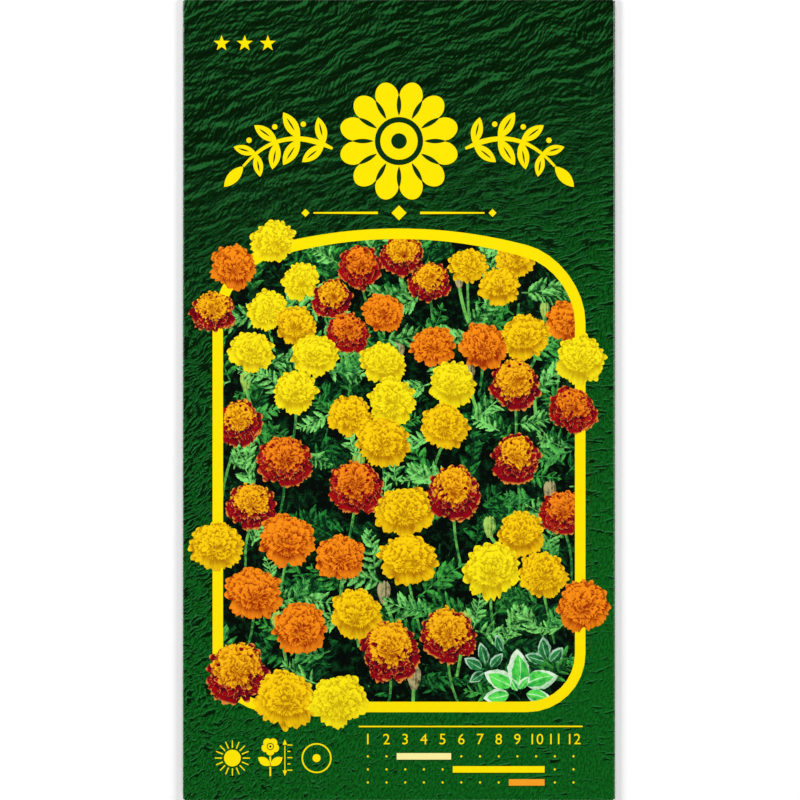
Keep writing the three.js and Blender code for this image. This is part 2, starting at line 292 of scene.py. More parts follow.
scatter_leaves(96, 11.0, ("#17682F", "#011406"), 0.46, False)
scatter_leaves(78, 10.0, ("#2E963C", "#032A12"), 0.66, False)
for x, y, radius, kind in blossoms:
    turns = [(k % 2, 2 * math.pi * k / 22) for k in range(22)]
    lay("shade", [(x + radius * (0.98 + 0.22 * odd) * math.cos(turn),
                   y + radius * (-0.38 + (0.84 + 0.16 * odd) * math.sin(turn)))
                  for odd, turn in turns])
    stalk(x, y - radius * 0.6, draw.uniform(9, 13), draw.uniform(-0.3, 0.3), 0.55, 0.62)
scatter_leaves(40, 9.5, ("#48B045", "#083C18"), 0.84, True)
GREEN_BUD, BROWN_BUD = ("#AED25E", "#2A6A24"), ("#B4A878", "#40401E")
for x, y, size, inks in (
        (-11, 21, 1.5, GREEN_BUD), (12, 24, 1.4, BROWN_BUD), (-30.5, 4, 1.6, GREEN_BUD),
        (14, 5.5, 1.6, BROWN_BUD), (-8, -12, 1.8, GREEN_BUD), (30, -18, 1.8, BROWN_BUD),
        (-3, -38, 1.9, BROWN_BUD), (13, -44, 2.0, GREEN_BUD), (-28, -19, 1.8, BROWN_BUD),
        (-12, -30, 1.9, GREEN_BUD), (27, 2, 1.6, GREEN_BUD), (0, 10, 1.6, BROWN_BUD),
        (18, -25, 1.8, GREEN_BUD), (-24, -44, 2.0, GREEN_BUD), (3, -55, 2.0, BROWN_BUD),
        (29, 18, 1.4, GREEN_BUD)):
    bud(x, y, size, inks)
scatter_leaves(62, 8.5, ("#86E472", "#0A481A"), 0.97, True)


# A low plant of broad leaves with ragged pale edges at the bed's lower right: small dark leaves
# behind, and bright ones in front, pale over one side and at the tip.
def pale_leaf(x, y, turn, length, width, greens, creams, margin):
    """One broad leaf from its foot: a pale one, and a narrower green one on it, off its middle."""
    foot = Vector((x, y))
    reach = Vector((math.cos(turn), math.sin(turn))) * length
    side = Vector((reach.y, -reach.x)).normalized() * width / 2
    bend = side * draw.uniform(-0.5, 0.5)
    seed, tone = draw.random() * 50, draw.uniform(0.8, 1.1)
    lean = draw.choice((-1, 1)) * margin * 0.7
    around = [(k / 10, 1) for k in range(11)] + [(k / 10, -1) for k in range(9, 0, -1)]
    for grow, tip, off, inks in ((1.0, 1.0, 0.0, creams),
                                 (1 - margin, 1 - 0.6 * margin, lean, greens)):
        outline = []
        for share, hand in around:
            arch = math.sin(math.pi * share ** 0.85)
            v = 0.02 + 0.96 * tip * share
            u = grow * hand * arch ** 0.8 * draw.uniform(0.9, 1.07) + off * arch
            outline.append(tuple(foot + reach * v + side * u + bend * v * v))
        lay("leaf", outline, *inks, (x, y), tuple(reach), width / 2, tone, seed=seed)
    vein = [tuple(foot + reach * v + side * lean * math.sin(math.pi * v) + bend * v * v)
            for v in (0.06, 0.25, 0.45, 0.62, 0.76)]
    lay("leaf", strip(vein, [0.2, 0.18, 0.15, 0.12, 0.08]), creams[0], greens[0], (x, y),
        tuple(reach), width / 2, 0.7)


for greens, creams, margin, leaves in (
        (("#2C8A46", "#0A3A1E"), ("#B4D8BC", "#4F8F66"), 0.2, (
            (16.5, -53.5, 2.5, 4.2, 2.3), (17.2, -52.6, 1.7, 4.6, 2.2),
            (18.2, -53.2, 0.9, 3.8, 2.0), (17.0, -54.2, 3.6, 3.6, 2.0),
            (29.5, -51.5, 1.9, 4.6, 2.6), (30.0, -52.2, 0.8, 4.0, 2.4),
            (29.0, -52.0, 2.8, 4.2, 2.2), (20.5, -50.0, 2.0, 3.6, 1.8))),
        (("#62E456", "#1C9A3C"), ("#E4F4DC", "#96CC98"), 0.24, (
            (22.6, -57.0, 2.55, 6.4, 3.9), (25.0, -56.6, 0.35, 7.0, 4.0),
            (23.6, -57.4, 1.45, 8.0, 4.6), (22.0, -58.6, 3.25, 5.4, 3.2),
            (25.2, -58.4, -0.25, 5.6, 3.0), (23.9, -57.6, 1.0, 3.4, 1.7),
            (23.6, -57.9, 2.1, 3.0, 1.6)))):
    for x, y, turn, length, width in leaves:
        pale_leaf(x, y, turn, length, width, greens, creams, margin)
scatter_leaves(14, 7.5, ("#57B850", "#0F5528"), 0.95, True)

# Double blossoms, seen from a little in front: a skirt of broad petals below, a ragged rim of
# small ones round the rest, and over them a dense crest of frilled florets that stand out from a
# low eye, which the crest's ink draws. The bicoloured ones have a golden crest above mahogany
# petals with thin gold edges.
BLOSSOM_INKS = {
    LEMON: (("#FFEC14", "#C4A206"), ("#FFF024", "#B89404"), 0.0),
    GOLDEN: (("#FFD20A", "#B07602"), ("#FFDC16", "#A66600"), 0.0),
    ORANGE: (("#FD9014", "#962400"), ("#FF9C1E", "#821600"), 0.0),
    BICOLOUR: (("#A00412", "#3C0014"), ("#FFBC12", "#A44A00"), 0.85),
    MAHOGANY: (("#AC0A10", "#440010"), ("#FB8C16", "#8C1A02"), 0.75),
}
FLATTEN = 0.93
LIFT = 0.12
SUN = Vector((-0.45, 0.9))
RIM_PETALS = 19


def on_blossom(place, r, turn):
    """A point on a blossom's uneven dome, r being its share of the radius."""
    x, y, radius = place[:3]
    uneven = 1 + 0.05 * math.sin(2 * turn + x) + 0.035 * math.sin(5 * turn + y)
    rise = FLATTEN * r * uneven * math.sin(turn) + LIFT * (1 - r * r)
    return Vector((x + radius * r * uneven * math.cos(turn), y + radius * rise))


def petal(place, foot_r, tip_r, turn, width, inks, lip, throat, scallops):
    """One ruffled petal from its foot to its lip, both shares of the blossom's radius."""
    foot = on_blossom(place, foot_r, turn)
    along = on_blossom(place, tip_r, turn + draw.uniform(-0.1, 0.1)) - foot
    across = Vector((along.y, -along.x)).normalized() * width / 2
    steps = 4 * scallops
    wave = draw.uniform(0.08, 0.18)
    ring = [(0.45, 0.0), (0.96, 0.55)]
    for k in range(steps + 1):
        u = math.cos(math.pi * k / steps)
        ruffle = wave * (0.5 - 0.5 * math.cos(2 * math.pi * k / 4)) * draw.uniform(0.4, 1.6)
        ring.append((u * (1 - 0.3 * ruffle), 1 - 0.34 * u ** 4 - ruffle))
    ring += [(-0.96, 0.55), (-0.45, 0.0)]
    facing = Vector((math.cos(turn), math.sin(turn))).dot(SUN) * tip_r
    tone = (0.88 + 0.15 * facing) * draw.uniform(0.84, 1.12)
    lay("petal", [tuple(foot + across * u + along * v) for u, v in ring], *inks, tuple(foot),
        tuple(along), width / 2, tone, lip, throat, draw.random() * 90)


def crest(place, r, inks, lip, skirt=0.0):
    """A fringed disc of florets, drawn in below by skirt. Its frame is in millimetres."""
    x, y, radius = place[:3]
    count = 2 * round(10 * r * radius)
    outline = []
    for k in range(count):
        turn = 2 * math.pi * k / count
        reach = r * (1.0 if k % 2 else 0.9) * draw.uniform(0.95, 1.04)
        reach *= 1 - skirt * max(0, -math.sin(turn)) ** 0.7
        outline.append(tuple(on_blossom(place, reach, turn)))
    lay("crest", outline, *inks, (x, y), (0, 1), 1.0, radius, lip, r, draw.random() * 90)


def blossom(place):
    """A whole blossom of its kind."""
    x, y, radius, kind = place
    guard, middle, lip = BLOSSOM_INKS[kind]
    two_coloured = kind in (BICOLOUR, MAHOGANY)
    skirt = draw.uniform(0.0, 0.12) if two_coloured else draw.uniform(0.12, 0.36)
    rim_step = 2 * math.pi / RIM_PETALS
    first = draw.random() * 6
    for k in range(RIM_PETALS):
        turn = first + rim_step * (k + draw.uniform(-0.3, 0.3))
        petal(place, 0.42, draw.uniform(0.9, 1.07), turn,
              rim_step * radius * draw.uniform(0.95, 1.35), guard, lip, 0.67, 2)
    for turn in sorted((draw.uniform(-2.9, -0.25) for k in range(7)), key=math.sin, reverse=True):
        petal(place, 0.3, draw.uniform(0.94, 1.08), turn, radius * draw.uniform(0.5, 0.66),
              guard, lip, 0.42, 4)
    crest(place, 0.9, guard, lip, skirt)
    golden_r = draw.uniform(0.6, 0.76)
    if two_coloured:
        high = (x, y + 0.2 * radius, radius)
        crest(high, golden_r, middle, 0.0)
        for k in range(20):
            golden = k % 4
            tip_r = golden_r * (draw.uniform(0.98, 1.24) if golden else draw.uniform(0.72, 0.98))
            petal(high, tip_r - 0.15, tip_r, draw.uniform(0, 2 * math.pi),
                  radius * draw.uniform(0.09, 0.17), middle if golden else guard,
                  0.0 if golden else lip, 0.1, 1)
    loose = [(draw.uniform(0.3, 0.88), draw.uniform(0, 2 * math.pi)) for k in range(16)]
    for tip_r, turn in sorted(loose, reverse=True):
        if tip_r > 0.9 * (1 - skirt * max(0, -math.sin(turn))):
            continue
        upper = tip_r * (1 - 0.5 * math.sin(turn)) < golden_r * draw.uniform(0.75, 1.2)
        inks, its_lip = (middle, 0.0) if two_coloured and upper else (guard, lip)
        petal(place, tip_r - 0.16, tip_r, turn, radius * draw.uniform(0.14, 0.24), inks,
              its_lip, 0.1, 1)


for place in blossoms:
    blossom(place)
in_window = range(window_shape, len(shapes))
for place in OVER_THE_FRAME:
    blossom(place)

# The signs are solid yellow ink over a thin dark edge, printed a little to the right and below.
SIGN_EDGE = "#0A2A06"
EDGE_SHIFT = 0.16


def sign(*outlines, bold=YELLOW, edge=True):
    """Lays a sign of one or more flat shapes, over the dark edges of them all."""
    for outline in outlines if edge else ():
        lay("flat", [(x + EDGE_SHIFT, y - EDGE_SHIFT) for x, y in outline], SIGN_EDGE)
    for outline in outlines:
        lay("flat", outline, bold)


# Three small stars at the top left.
def star(x, y, tip, notch):
    """A star with five points, one of them up."""
    return [polar(x, y, notch if k % 2 else tip, math.pi * (0.5 + k / 5)) for k in range(10)]


for x in (-35.3, -30.7, -26.1):
    sign(star(x, 70.95, 1.68, 0.68))

# The heading's ornament: a bold rosette between two leafy sprays that curl at their ends.
ORNAMENT_Y = 51.5


def circle(x, y, radius, steps=24):
    """A round outline."""
    return [polar(x, y, radius, 2 * math.pi * k / steps) for k in range(steps)]


def leaf_shape(foot, turn, length, width, steps=5):
    """A pointed leaf's outline."""
    ahead = Vector((math.cos(turn), math.sin(turn)))
    side = Vector((ahead.y, -ahead.x)) * width / 2
    profile = [(math.sin(math.pi * k / steps) ** 0.8, k / steps) for k in range(1, steps)]
    ring = [(0, 0)] + profile + [(0, 1)] + [(-u, v) for u, v in reversed(profile)]
    return [tuple(Vector(foot) + side * u + ahead * length * v) for u, v in ring]


def rosette(x, y, radius, petals, bold=YELLOW, gap="#06300F", slits=True):
    """A flower of broad round petals with a ring and a button."""
    outline = []
    for k in range(16 * petals):
        lobe = abs(math.sin(math.pi * k / 16)) ** 0.6
        outline.append(polar(x, y, radius * (0.74 + 0.26 * lobe),
                             math.pi * (0.5 + k / (8 * petals))))
    sign(outline, bold=bold)
    for k in range(petals if slits else 0):
        turn = math.pi * (0.5 + 2 * k / petals)
        slit = leaf_shape(polar(x, y, 0.42 * radius, turn), turn, 0.36 * radius, 0.075 * radius, 8)
        lay("flat", slit, gap)
    for share, steps, ink in ((0.4, 40, gap), (0.31, 36, bold), (0.13, 24, gap)):
        lay("flat", circle(x, y, share * radius, steps), ink)


for hand in (-1, 1):
    stem = bow((hand * 13.2, ORNAMENT_Y - 1.5), (hand * 31.0, ORNAMENT_Y - 5.0), hand * -3.6, 12)
    ahead = Vector(stem[-1]) - Vector(stem[-2])
    whole = [strip(stem, [0.5, 0.9] + [1.1 - 0.06 * k for k in range(11)]),
             leaf_shape(stem[-1], math.atan2(ahead.y, ahead.x), 5.6, 2.3, 10)]
    veins = []
    for k, length in ((1, 5.6), (4, 6.2), (7, 5.6), (10, 4.7)):
        ahead = (Vector(stem[k + 1]) - Vector(stem[k])).normalized()
        for lean in (-58, 58):
            turn = math.atan2(ahead.y, ahead.x) + math.radians(lean)
            whole.append(leaf_shape(stem[k], turn, length, length * 0.42, 10))
            vein_foot = polar(*stem[k], length * 0.3, turn)
            veins.append(leaf_shape(vein_foot, turn, length * 0.5, 0.34, 4))
        if k > 1:
            berry = Vector(stem[k]) - ahead * 0.7 + Vector((-ahead.y, ahead.x)) * 2.9 * hand
            whole.append(circle(*berry, 0.55, 16))
    sign(*whole)
    for vein in veins:
        lay("flat", vein, "#0B3310")
rosette(0, ORNAMENT_Y, 12.0, 12)

# A thin rule with three lozenges closes the heading.
for side in (-1, 1):
    sign([(side * x, y) for x, y in ((4.2, 36.95), (17.0, 37.05), (17.0, 37.35), (4.2, 37.45))])
    sign(circle(side * 18.6, 37.2, 0.8, 4))
sign(circle(0, 37.2, 1.5, 4))

# Growing signs at the foot: full sun, height, and spacing.
SIGN_Y = -71.25
SUN_X, FLOWER_X, ARROW_X, RING_X = -33.15, -25.6, -22.7, -16.4
sign(circle(SUN_X, SIGN_Y, 1.68))
for k in range(16):
    ray = [polar(SUN_X, SIGN_Y, reach, math.radians(22.5 * k)) for reach in (2.05, 3.5)]
    sign(strip(ray, [0.26, 0.2]), edge=False)

sign(strip([(FLOWER_X, SIGN_Y - 3.6), (FLOWER_X, SIGN_Y + 1)], [0.34, 0.34]))
for lean in (34, 146):
    sign(leaf_shape((FLOWER_X, SIGN_Y - 1.5), math.radians(lean), 2.95, 1.6, 6))
rosette(FLOWER_X, SIGN_Y + 2.3, 1.8, 5, slits=False)
sign(strip([(ARROW_X, SIGN_Y - 3.0), (ARROW_X, SIGN_Y + 3.2)], [0.2, 0.2]))
for hand in (-1, 1):
    tip = SIGN_Y + 0.1 + 3.65 * hand
    sign([(ARROW_X, tip), (ARROW_X - 0.45, tip - 1.1 * hand), (ARROW_X + 0.45, tip - 1.1 * hand)])
for k in range(5):
    y = SIGN_Y - 2.4 + 1.25 * k
    sign(strip([(ARROW_X + 0.5, y), (ARROW_X + 1.5 - 0.4 * (k % 2), y)], [0.22] * 2), edge=False)

for start in (0, 180):
    turns = [math.radians(start + 11.25 * k) for k in range(17)]
    lay("flat", [polar(RING_X, SIGN_Y, 3.0, turn) for turn in turns]
        + [polar(RING_X, SIGN_Y, 2.7, turn) for turn in reversed(turns)], YELLOW)
sign(circle(RING_X, SIGN_Y, 0.81, 20))


# A twelve-month calendar: plain numbers in a row, and bars for the months to sow and to enjoy.
def figures(text, x, y, height, layers):
    """Lays plain numbers, centred on x with their foot at y, as the font's own triangles. Each
    layer has a shift to the right and down, and a colour."""
    bpy.ops.object.text_add()
    written = bpy.context.active_object
    written.data.body = text
    written.data.align_x = "CENTER"
    written.data.resolution_u = 3
    bpy.ops.object.convert(target="MESH")
    mesh = written.data
    mesh.calc_loop_triangles()
    size = height / max(vertex.co.y for vertex in mesh.vertices)
    spots = [(x + vertex.co.x * size, y + vertex.co.y * size) for vertex in mesh.vertices]
    triangles = [[spots[k] for k in triangle.vertices] for triangle in mesh.loop_triangles
                 if triangle.area > 1e-5]
    bpy.data.objects.remove(written)
    for shift, ink in layers:
        shifted = [[(a + shift, b - shift) for a, b in triangle] for triangle in triangles]
        lay("flat", None, ink, pieces=shifted)


def bar(x0, x1, y0, y1):
    """An oblong, by its sides."""
    return [(x0, y0), (x1, y0), (x1, y1), (x0, y1)]


MONTH_X = [-6.2 + 3.72 * month for month in range(12)]
for month, x in enumerate(MONTH_X):
    figures(str(month + 1), x, -68.5, 2.1, ((0.12, SIGN_EDGE), (0, YELLOW)))
sign(bar(MONTH_X[0] - 1.8, MONTH_X[-1] + 1.8, -65.1, -64.8))
for first, last, y, ink in ((2, 4, -71.7, "#FFF3A0"), (5, 9, -74.3, YELLOW), (8, 9, -76.9, "#F8A024")):
    for x in MONTH_X[:first] + MONTH_X[last + 1:]:
        lay("flat", circle(x, y + 0.8, 0.22, 10), YELLOW)
    sign(bar(MONTH_X[first] - 1.7, MONTH_X[last] + 1.7, y + 0.15, y + 1.45), bold=ink)

# The back panel, as it is seen with the packet turned over: a cream field inside the green, and
# drawings in place of words, which show sun, sowing, spacing and water, over a ruled calendar.
BACK_X = (BACK_START + BACK_EDGE) / 2
BACK_Y = (BOTTOM + BOTTOM_FLAP + TOP - TOP_FLAP) / 2
CREAM, DEEP_GREEN, STALK_GREEN, AMBER = "#F4EED6", "#0E4A1E", "#3C8A34", "#F2A81C"


def back(outline, ink=DEEP_GREEN):
    """Lays a flat shape on the back panel, whose middle its outline counts from."""
    lay("flat", [(BACK_X + x, BACK_Y + y) for x, y in outline], ink)


back(rounded_box(0, 0, 74, 108, 5), "#F2DF2A")
back(rounded_box(0, 0, 72.6, 106.6, 4.4), CREAM)
rosette(BACK_X, BACK_Y + 42, 6.5, 12, DEEP_GREEN, CREAM)
for side in (-1, 1):
    back(strip([(side * 9.5, 42), (side * 28, 42)], [0.5, 0.5]))
    back(leaf_shape((side * 12, 42), math.radians(90 - side * 48), 5, 2))
    back(leaf_shape((side * 18, 42), math.radians(-90 + side * 48), 5, 2))
for k in range(4):
    back(rounded_box(-25.5 + 17 * k, 22, 15, 17, 1.6))
    back(rounded_box(-25.5 + 17 * k, 22, 14.3, 16.3, 1.3), "#FBF7E6")
back(circle(-25.5, 22, 2.5), AMBER)
for k in range(12):
    ray = [polar(-25.5, 22, reach, math.radians(30 * k)) for reach in (3.3, 5.2)]
    back(strip(ray, [0.45, 0.3]), AMBER)
soil = [(-2.2 - 12.6 * k / 8, 20.5 + 0.35 * math.sin(2.4 * k)) for k in range(9)]
back([(-14.8, 13.85), (-2.2, 13.85)] + soil, "#7A5330")
for x in (-12, -8.5, -5):
    back(leaf_shape((x, 18.9), math.radians(-72), 2.6, 0.7, 4), "#1E1712")
back(strip([(-8.5, 28.6), (-8.5, 23.4)], [0.5, 0.5]))
back([(-9.7, 23.6), (-8.5, 21.6), (-7.3, 23.6)])
back(strip([(5.6, 15.4), (11.4, 15.4)], [0.35, 0.35]))
for x, inwards in ((4.6, 1.6), (12.4, -1.6)):
    back([(x, 15.4), (x + inwards, 14.7), (x + inwards, 16.1)])
    back(strip([(x, 16.5), (x, 22)], [0.5, 0.5]), STALK_GREEN)
    for lean in (40, 140):
        back(leaf_shape((x, 18.5), math.radians(lean), 3.2, 1.2), STALK_GREEN)
    back(circle(x, 24, 2.2, 18), AMBER)
for x, y, size in ((22.2, 20, 2.6), (27.6, 23.6, 2.1), (27.2, 17.2, 1.6)):
    drop = [polar(x, y, size, math.radians(turn)) for turn in range(150, 391, 20)]
    back([(x, y + 1.9 * size)] + drop, "#3E8FC0")

# The calendar: twelve numbered columns, with bars for sowing indoors, sowing out and flowering.
# Below it are ruled lines for the gardener's own notes, and three stars.
COLUMN = 5.1
GAP = 0.5
ROWS = ((0.6, 2, 3, "#A9C94A"), (-4.4, 4, 5, "#4F9A3A"), (-9.4, 5, 9, AMBER))
for month in range(12):
    x = (month - 5.5) * COLUMN
    back(rounded_box(x, 6.2, COLUMN - GAP, 4.6, 0.6))
    figures(str(month + 1), BACK_X + x, BACK_Y + 5.0, 2.3, ((0, CREAM),))
    for row in ROWS:
        back(rounded_box(x, row[0], COLUMN - GAP, 4.2, 0.5), "#E6DFC2")
for y, first, last, ink in ROWS:
    x, width = ((first + last) / 2 - 5.5) * COLUMN, (last - first + 1) * COLUMN - GAP
    back(rounded_box(x, y, width, 4.2, 0.5), ink)
for k in range(5):
    back(strip([(-30, -20.5 - 5.4 * k), (30, -20.5 - 5.4 * k)], [0.22, 0.22]), "#8FA088")
for x in (-5, 0, 5):
    back(star(x, -48, 1.5, 0.62), "#E2B51A")

# The flaps' and the back panel's cut edges, where the knife bares the paper's white core.
CUT_EDGE = "#D5DCC8"
CUT_WIDTH = 0.18
CUT_INSET = 0.13
for flap, outward in ((top_flap[1:-1], 1), (bottom_flap[1:-1], -1)):
    path = []
    for k, (x, y) in enumerate(flap):
        ahead = Vector(flap[min(k + 1, len(flap) - 1)]) - Vector(flap[max(k - 1, 0)])
        inwards = ahead.normalized() * CUT_INSET * outward
        path.append((x - inwards.y, y + inwards.x))
    lay("flat", strip(path, [CUT_WIDTH] * len(path)), CUT_EDGE)
knife_x = BACK_EDGE - CUT_INSET
lay("flat", strip([(knife_x, BOTTOM), (knife_x, TOP)], [CUT_WIDTH] * 2), CUT_EDGE)

# The envelope. All the ink shapes are cut into one mosaic that fills the blank, so each colour
# has a sharp printed edge, and the blank is bent round its folds. The front swells over the
# seeds and the back sags to the table between its flaps, with a few soft wrinkles in the paper.
BULGE = sheet_high.z / MM - FRONT_LEVEL - PAPER / 2 - 0.1
BULGE_RUN_SIDE = 34.0
BULGE_RUN_BOTTOM = 46.0
BULGE_RUN_TOP = 74.0
WRINKLE = 0.09
WRINKLE_RUN = 7.0
SAG_CLEARANCE = 4.0
SAG_RUN = 14.0
GRID = 2.4
FOLD_STEPS = 8
SAME_SPOT = 1e-4
STRAIGHT_ENOUGH = 0.008
FOLDS = [
    (0, 1, RIGHT, LONG_FOLD_RADIUS), (0, -1, LEFT, SEAM_FOLD_RADIUS),
    (1, 1, TOP, END_FOLD_RADIUS), (1, -1, BOTTOM, END_FOLD_RADIUS)]


def plateau(at, low, high, low_run, high_run):
    """Rises from 0 at low up to 1 and falls to 0 at high, flat at both ends of each run."""
    rise, fall = np.clip((at - low) / low_run, 0, 1), np.clip((high - at) / high_run, 0, 1)
    return rise * rise * (3 - 2 * rise) * fall * fall * (3 - 2 * fall)


def front_rise(x, y):
    """How far the front panel stands above its folded edges. Long low waves run over it, and
    stronger ones near its corners, where the paper gives way between its stiff edges."""
    waves = 0.55 * np.sin(0.13 * x + 0.05 * y + 1.1) * np.sin(0.045 * x - 0.11 * y + 0.4)
    for corner_x, corner_y, lean in ((RIGHT, TOP, 1), (LEFT, TOP, -1), (RIGHT, BOTTOM, -1),
                                     (LEFT, BOTTOM, 1)):
        away = np.hypot(x - corner_x, y - corner_y)
        across = (x - corner_x) - lean * (y - corner_y) * 0.8
        waves += 0.9 * np.sin(across / 2.1 + corner_x) * np.exp(-((away - 17) / 8) ** 2)
    swell = plateau(x, LEFT, RIGHT, BULGE_RUN_SIDE, BULGE_RUN_SIDE)
    swell *= plateau(y, BOTTOM, TOP, BULGE_RUN_BOTTOM, BULGE_RUN_TOP)
    waves *= plateau(x, LEFT, RIGHT, WRINKLE_RUN, WRINKLE_RUN)
    waves *= plateau(y, BOTTOM, TOP, WRINKLE_RUN, WRINKLE_RUN)
    return BULGE * swell + WRINKLE * waves


def back_drop(x, y):
    """How far the back panel hangs down between its flaps, as a height below zero."""
    return (FLAP_LEVEL - BACK_LEVEL) * plateau(
        x, LEFT + SEAM_FLAP + SAG_CLEARANCE, RIGHT - SAG_CLEARANCE, SAG_RUN, SAG_RUN) * plateau(
        y, BOTTOM + BOTTOM_FLAP + SAG_CLEARANCE, TOP - TOP_FLAP - SAG_CLEARANCE, SAG_RUN, SAG_RUN)


def up_normals(height, x, y):
    """Unit normals, facing up, of the surface z = height(x, y)."""
    step = 0.05
    slope_x = (height(x + step, y) - height(x - step, y)) / (2 * step)
    slope_y = (height(x, y + step) - height(x, y - step)) / (2 * step)
    normals = np.stack([-slope_x, -slope_y, np.ones_like(x)], axis=1)
    return normals / np.linalg.norm(normals, axis=1, keepdims=True)


def folded(spots):
    """Where spots of the blank lie once it is folded, and which way its printed side faces."""
    x, y = spots.T
    place = np.stack([x, y, FRONT_LEVEL + front_rise(x, y)], axis=1)
    printed = up_normals(front_rise, x, y)
    for axis, outward, edge, radius in FOLDS:
        travel = outward * (spots[:, axis] - edge)
        over = travel > 1e-3
        turn = np.clip(travel / radius, 0, math.pi)
        out = radius * np.sin(turn) - np.maximum(travel - math.pi * radius, 0)
        place[over, axis] = (edge + outward * out)[over]
        place[over, 2] = (FRONT_LEVEL - radius * (1 - np.cos(turn)))[over]
        printed[over] = 0
        printed[over, axis] = (outward * np.sin(turn))[over]
        printed[over, 2] = np.cos(turn)[over]
    behind = x > BACK_START
    place[behind, 2] = BACK_LEVEL + back_drop(*place[behind, :2].T)
    printed[behind] = -up_normals(back_drop, *place[behind, :2].T)
    return place, printed


def cut(rings, lines, points):
    """The mosaic of rings, lines and points: its points, triangles and their rings' numbers."""
    coords, faces, edges = [], [], []
    for ring in rings:
        doubled = sum(a[0] * b[1] - b[0] * a[1] for a, b in zip(ring, ring[1:] + ring[:1]))
        faces.append(list(range(len(coords), len(coords) + len(ring))))
        coords += ring if doubled > 0 else ring[::-1]
    for line in lines:
        edges.append((len(coords), len(coords) + 1))
        coords += line
    coords = [Vector(point) for point in coords + points]
    made = delaunay_2d_cdt(coords, edges, faces, 1, SAME_SPOT, True)
    return np.array([tuple(point) for point in made[0]]), np.array(made[2]), made[5]


def sides(triangles):
    """Every triangle's three sides, as pairs of points."""
    return triangles[:, [0, 1, 1, 2, 2, 0]].reshape(-1, 2)


# First cut: every shape whole. The shape that was laid last owns each triangle.
rings = [(number, ring) for number, shape in enumerate(shapes) for ring in shape["pieces"]]
first_points, first_faces, first_rings = cut([ring for _, ring in rings], [], [])
first_owner = []
for ids in first_rings:
    laid = {rings[i][0] for i in ids}
    shown = [n for n in laid if n not in in_window or window_shape in laid]
    first_owner.append(max(shown, default=-1))

# Second cut: only the edges between two owners are kept, without the points that hidden edges
# left on straight lines, and with a net and the creases that let the sheet bend.
beside = {}
for pair, shown in zip(np.sort(sides(first_faces), axis=1).tolist(), np.repeat(first_owner, 3)):
    beside.setdefault(tuple(pair), []).append(shown)
neighbours = {}
for (a, b), owners in sorted(beside.items()):
    if owners[0] != (owners[1] if len(owners) == 2 else -1):
        neighbours.setdefault(a, set()).add(b)
        neighbours.setdefault(b, set()).add(a)
for corner in list(neighbours):
    if len(neighbours[corner]) != 2:
        continue
    a, b = neighbours[corner]
    span, offset = first_points[b] - first_points[a], first_points[corner] - first_points[a]
    off_line = abs(span[0] * offset[1] - span[1] * offset[0]) / math.hypot(*span)
    if b not in neighbours[a] and off_line < STRAIGHT_ENOUGH:
        for end, other in ((a, b), (b, a)):
            neighbours[end].remove(corner)
            neighbours[end].add(other)
        del neighbours[corner]

lines = []
for a, b in [(a, b) for a in neighbours for b in neighbours[a] if a < b]:
    start, end = first_points[a], first_points[b]
    count = math.ceil(math.dist(start, end) / GRID)
    stops = [tuple(start + (end - start) * k / count) for k in range(count + 1)]
    lines += [list(pair) for pair in zip(stops, stops[1:])]
net = []
rows = round((TOP - BOTTOM) / GRID)
for low, high in ((LEFT, RIGHT), (BACK_START, BACK_EDGE)):
    columns = round((high - low) / GRID)
    net += [(low + (high - low) * i / columns, BOTTOM + (TOP - BOTTOM) * j / rows)
            for i in range(1, columns) for j in range(1, rows)]


def creases(inset):
    """Lines along every fold, close enough together to round it."""
    lines = []
    for axis, outward, edge, radius in FOLDS:
        for step in range(FOLD_STEPS + 1):
            at = edge + outward * math.pi * radius * step / FOLD_STEPS
            lines.append([(at, BOTTOM + inset), (at, TOP - inset)] if axis == 0 else
                         [(LEFT + inset, at), (RIGHT - inset, at)])
    return lines


plan, faces, _ = cut([], lines + creases(0), net)
picture = BVHTree.FromPolygons([Vector((x, y, 0)) for x, y in first_points], first_faces.tolist())
hits = [picture.ray_cast(Vector((x, y, 1)), Vector((0, 0, -1)))[2]
        for x, y in plan[faces].mean(axis=1).tolist()]
owner = np.array([-1 if hit is None else first_owner[hit] for hit in hits])
faces, owner = faces[owner >= 0], owner[owner >= 0]

# The inner face has the same cut edge and its own creases and net, and narrow walls of bare
# paper join the two faces along that edge.
present = set(map(tuple, sides(faces).tolist()))
following = {a: b for a, b in present if (b, a) not in present}
rim = [next(iter(following))]
while following[rim[-1]] != rim[0]:
    rim.append(following[rim[-1]])
inner_plan, inner_faces, inner_rings = cut([[tuple(plan[i]) for i in rim]], creases(0.02), net)
inner_faces = inner_faces[[bool(ids) for ids in inner_rings]]
outer_place, outer_facing = folded(plan)
inner_place, inner_facing = folded(inner_plan)
places = np.concatenate([outer_place + outer_facing * PAPER / 2,
                         inner_place - inner_facing * PAPER / 2]) * MM
at_rim = {tuple(np.round(spot, 3)): i for i, spot in enumerate(inner_plan, len(plan))}
inner_rim = [at_rim[tuple(np.round(plan[i], 3))] for i in rim]
walls = []
for a, b, c, d in zip(rim, rim[1:] + rim[:1], inner_rim[1:] + inner_rim[:1], inner_rim):
    walls += [(b, a, d), (b, d, c)]
triangles = np.concatenate([faces, inner_faces[:, ::-1] + len(plan), np.array(walls)])
packet = bpy.data.meshes.new("packet_sheet")
packet.from_pydata(places.tolist(), [], triangles.tolist())
sheet = bpy.data.objects.new("packet_sheet", packet)
bpy.context.scene.collection.objects.link(sheet)

# What each triangle's ink has to know is stored on the mesh: the ink's two colours, its small
# frame (u, v and a seed), its tone and lip, and the blank's own millimetres.
plan_all = np.concatenate([plan, inner_plan])
corner_plan = plan_all[triangles.reshape(-1)]
owner_all = np.concatenate([owner, np.full(len(inner_faces) + len(walls), -1)])
corner_owner = np.repeat(owner_all, 3)


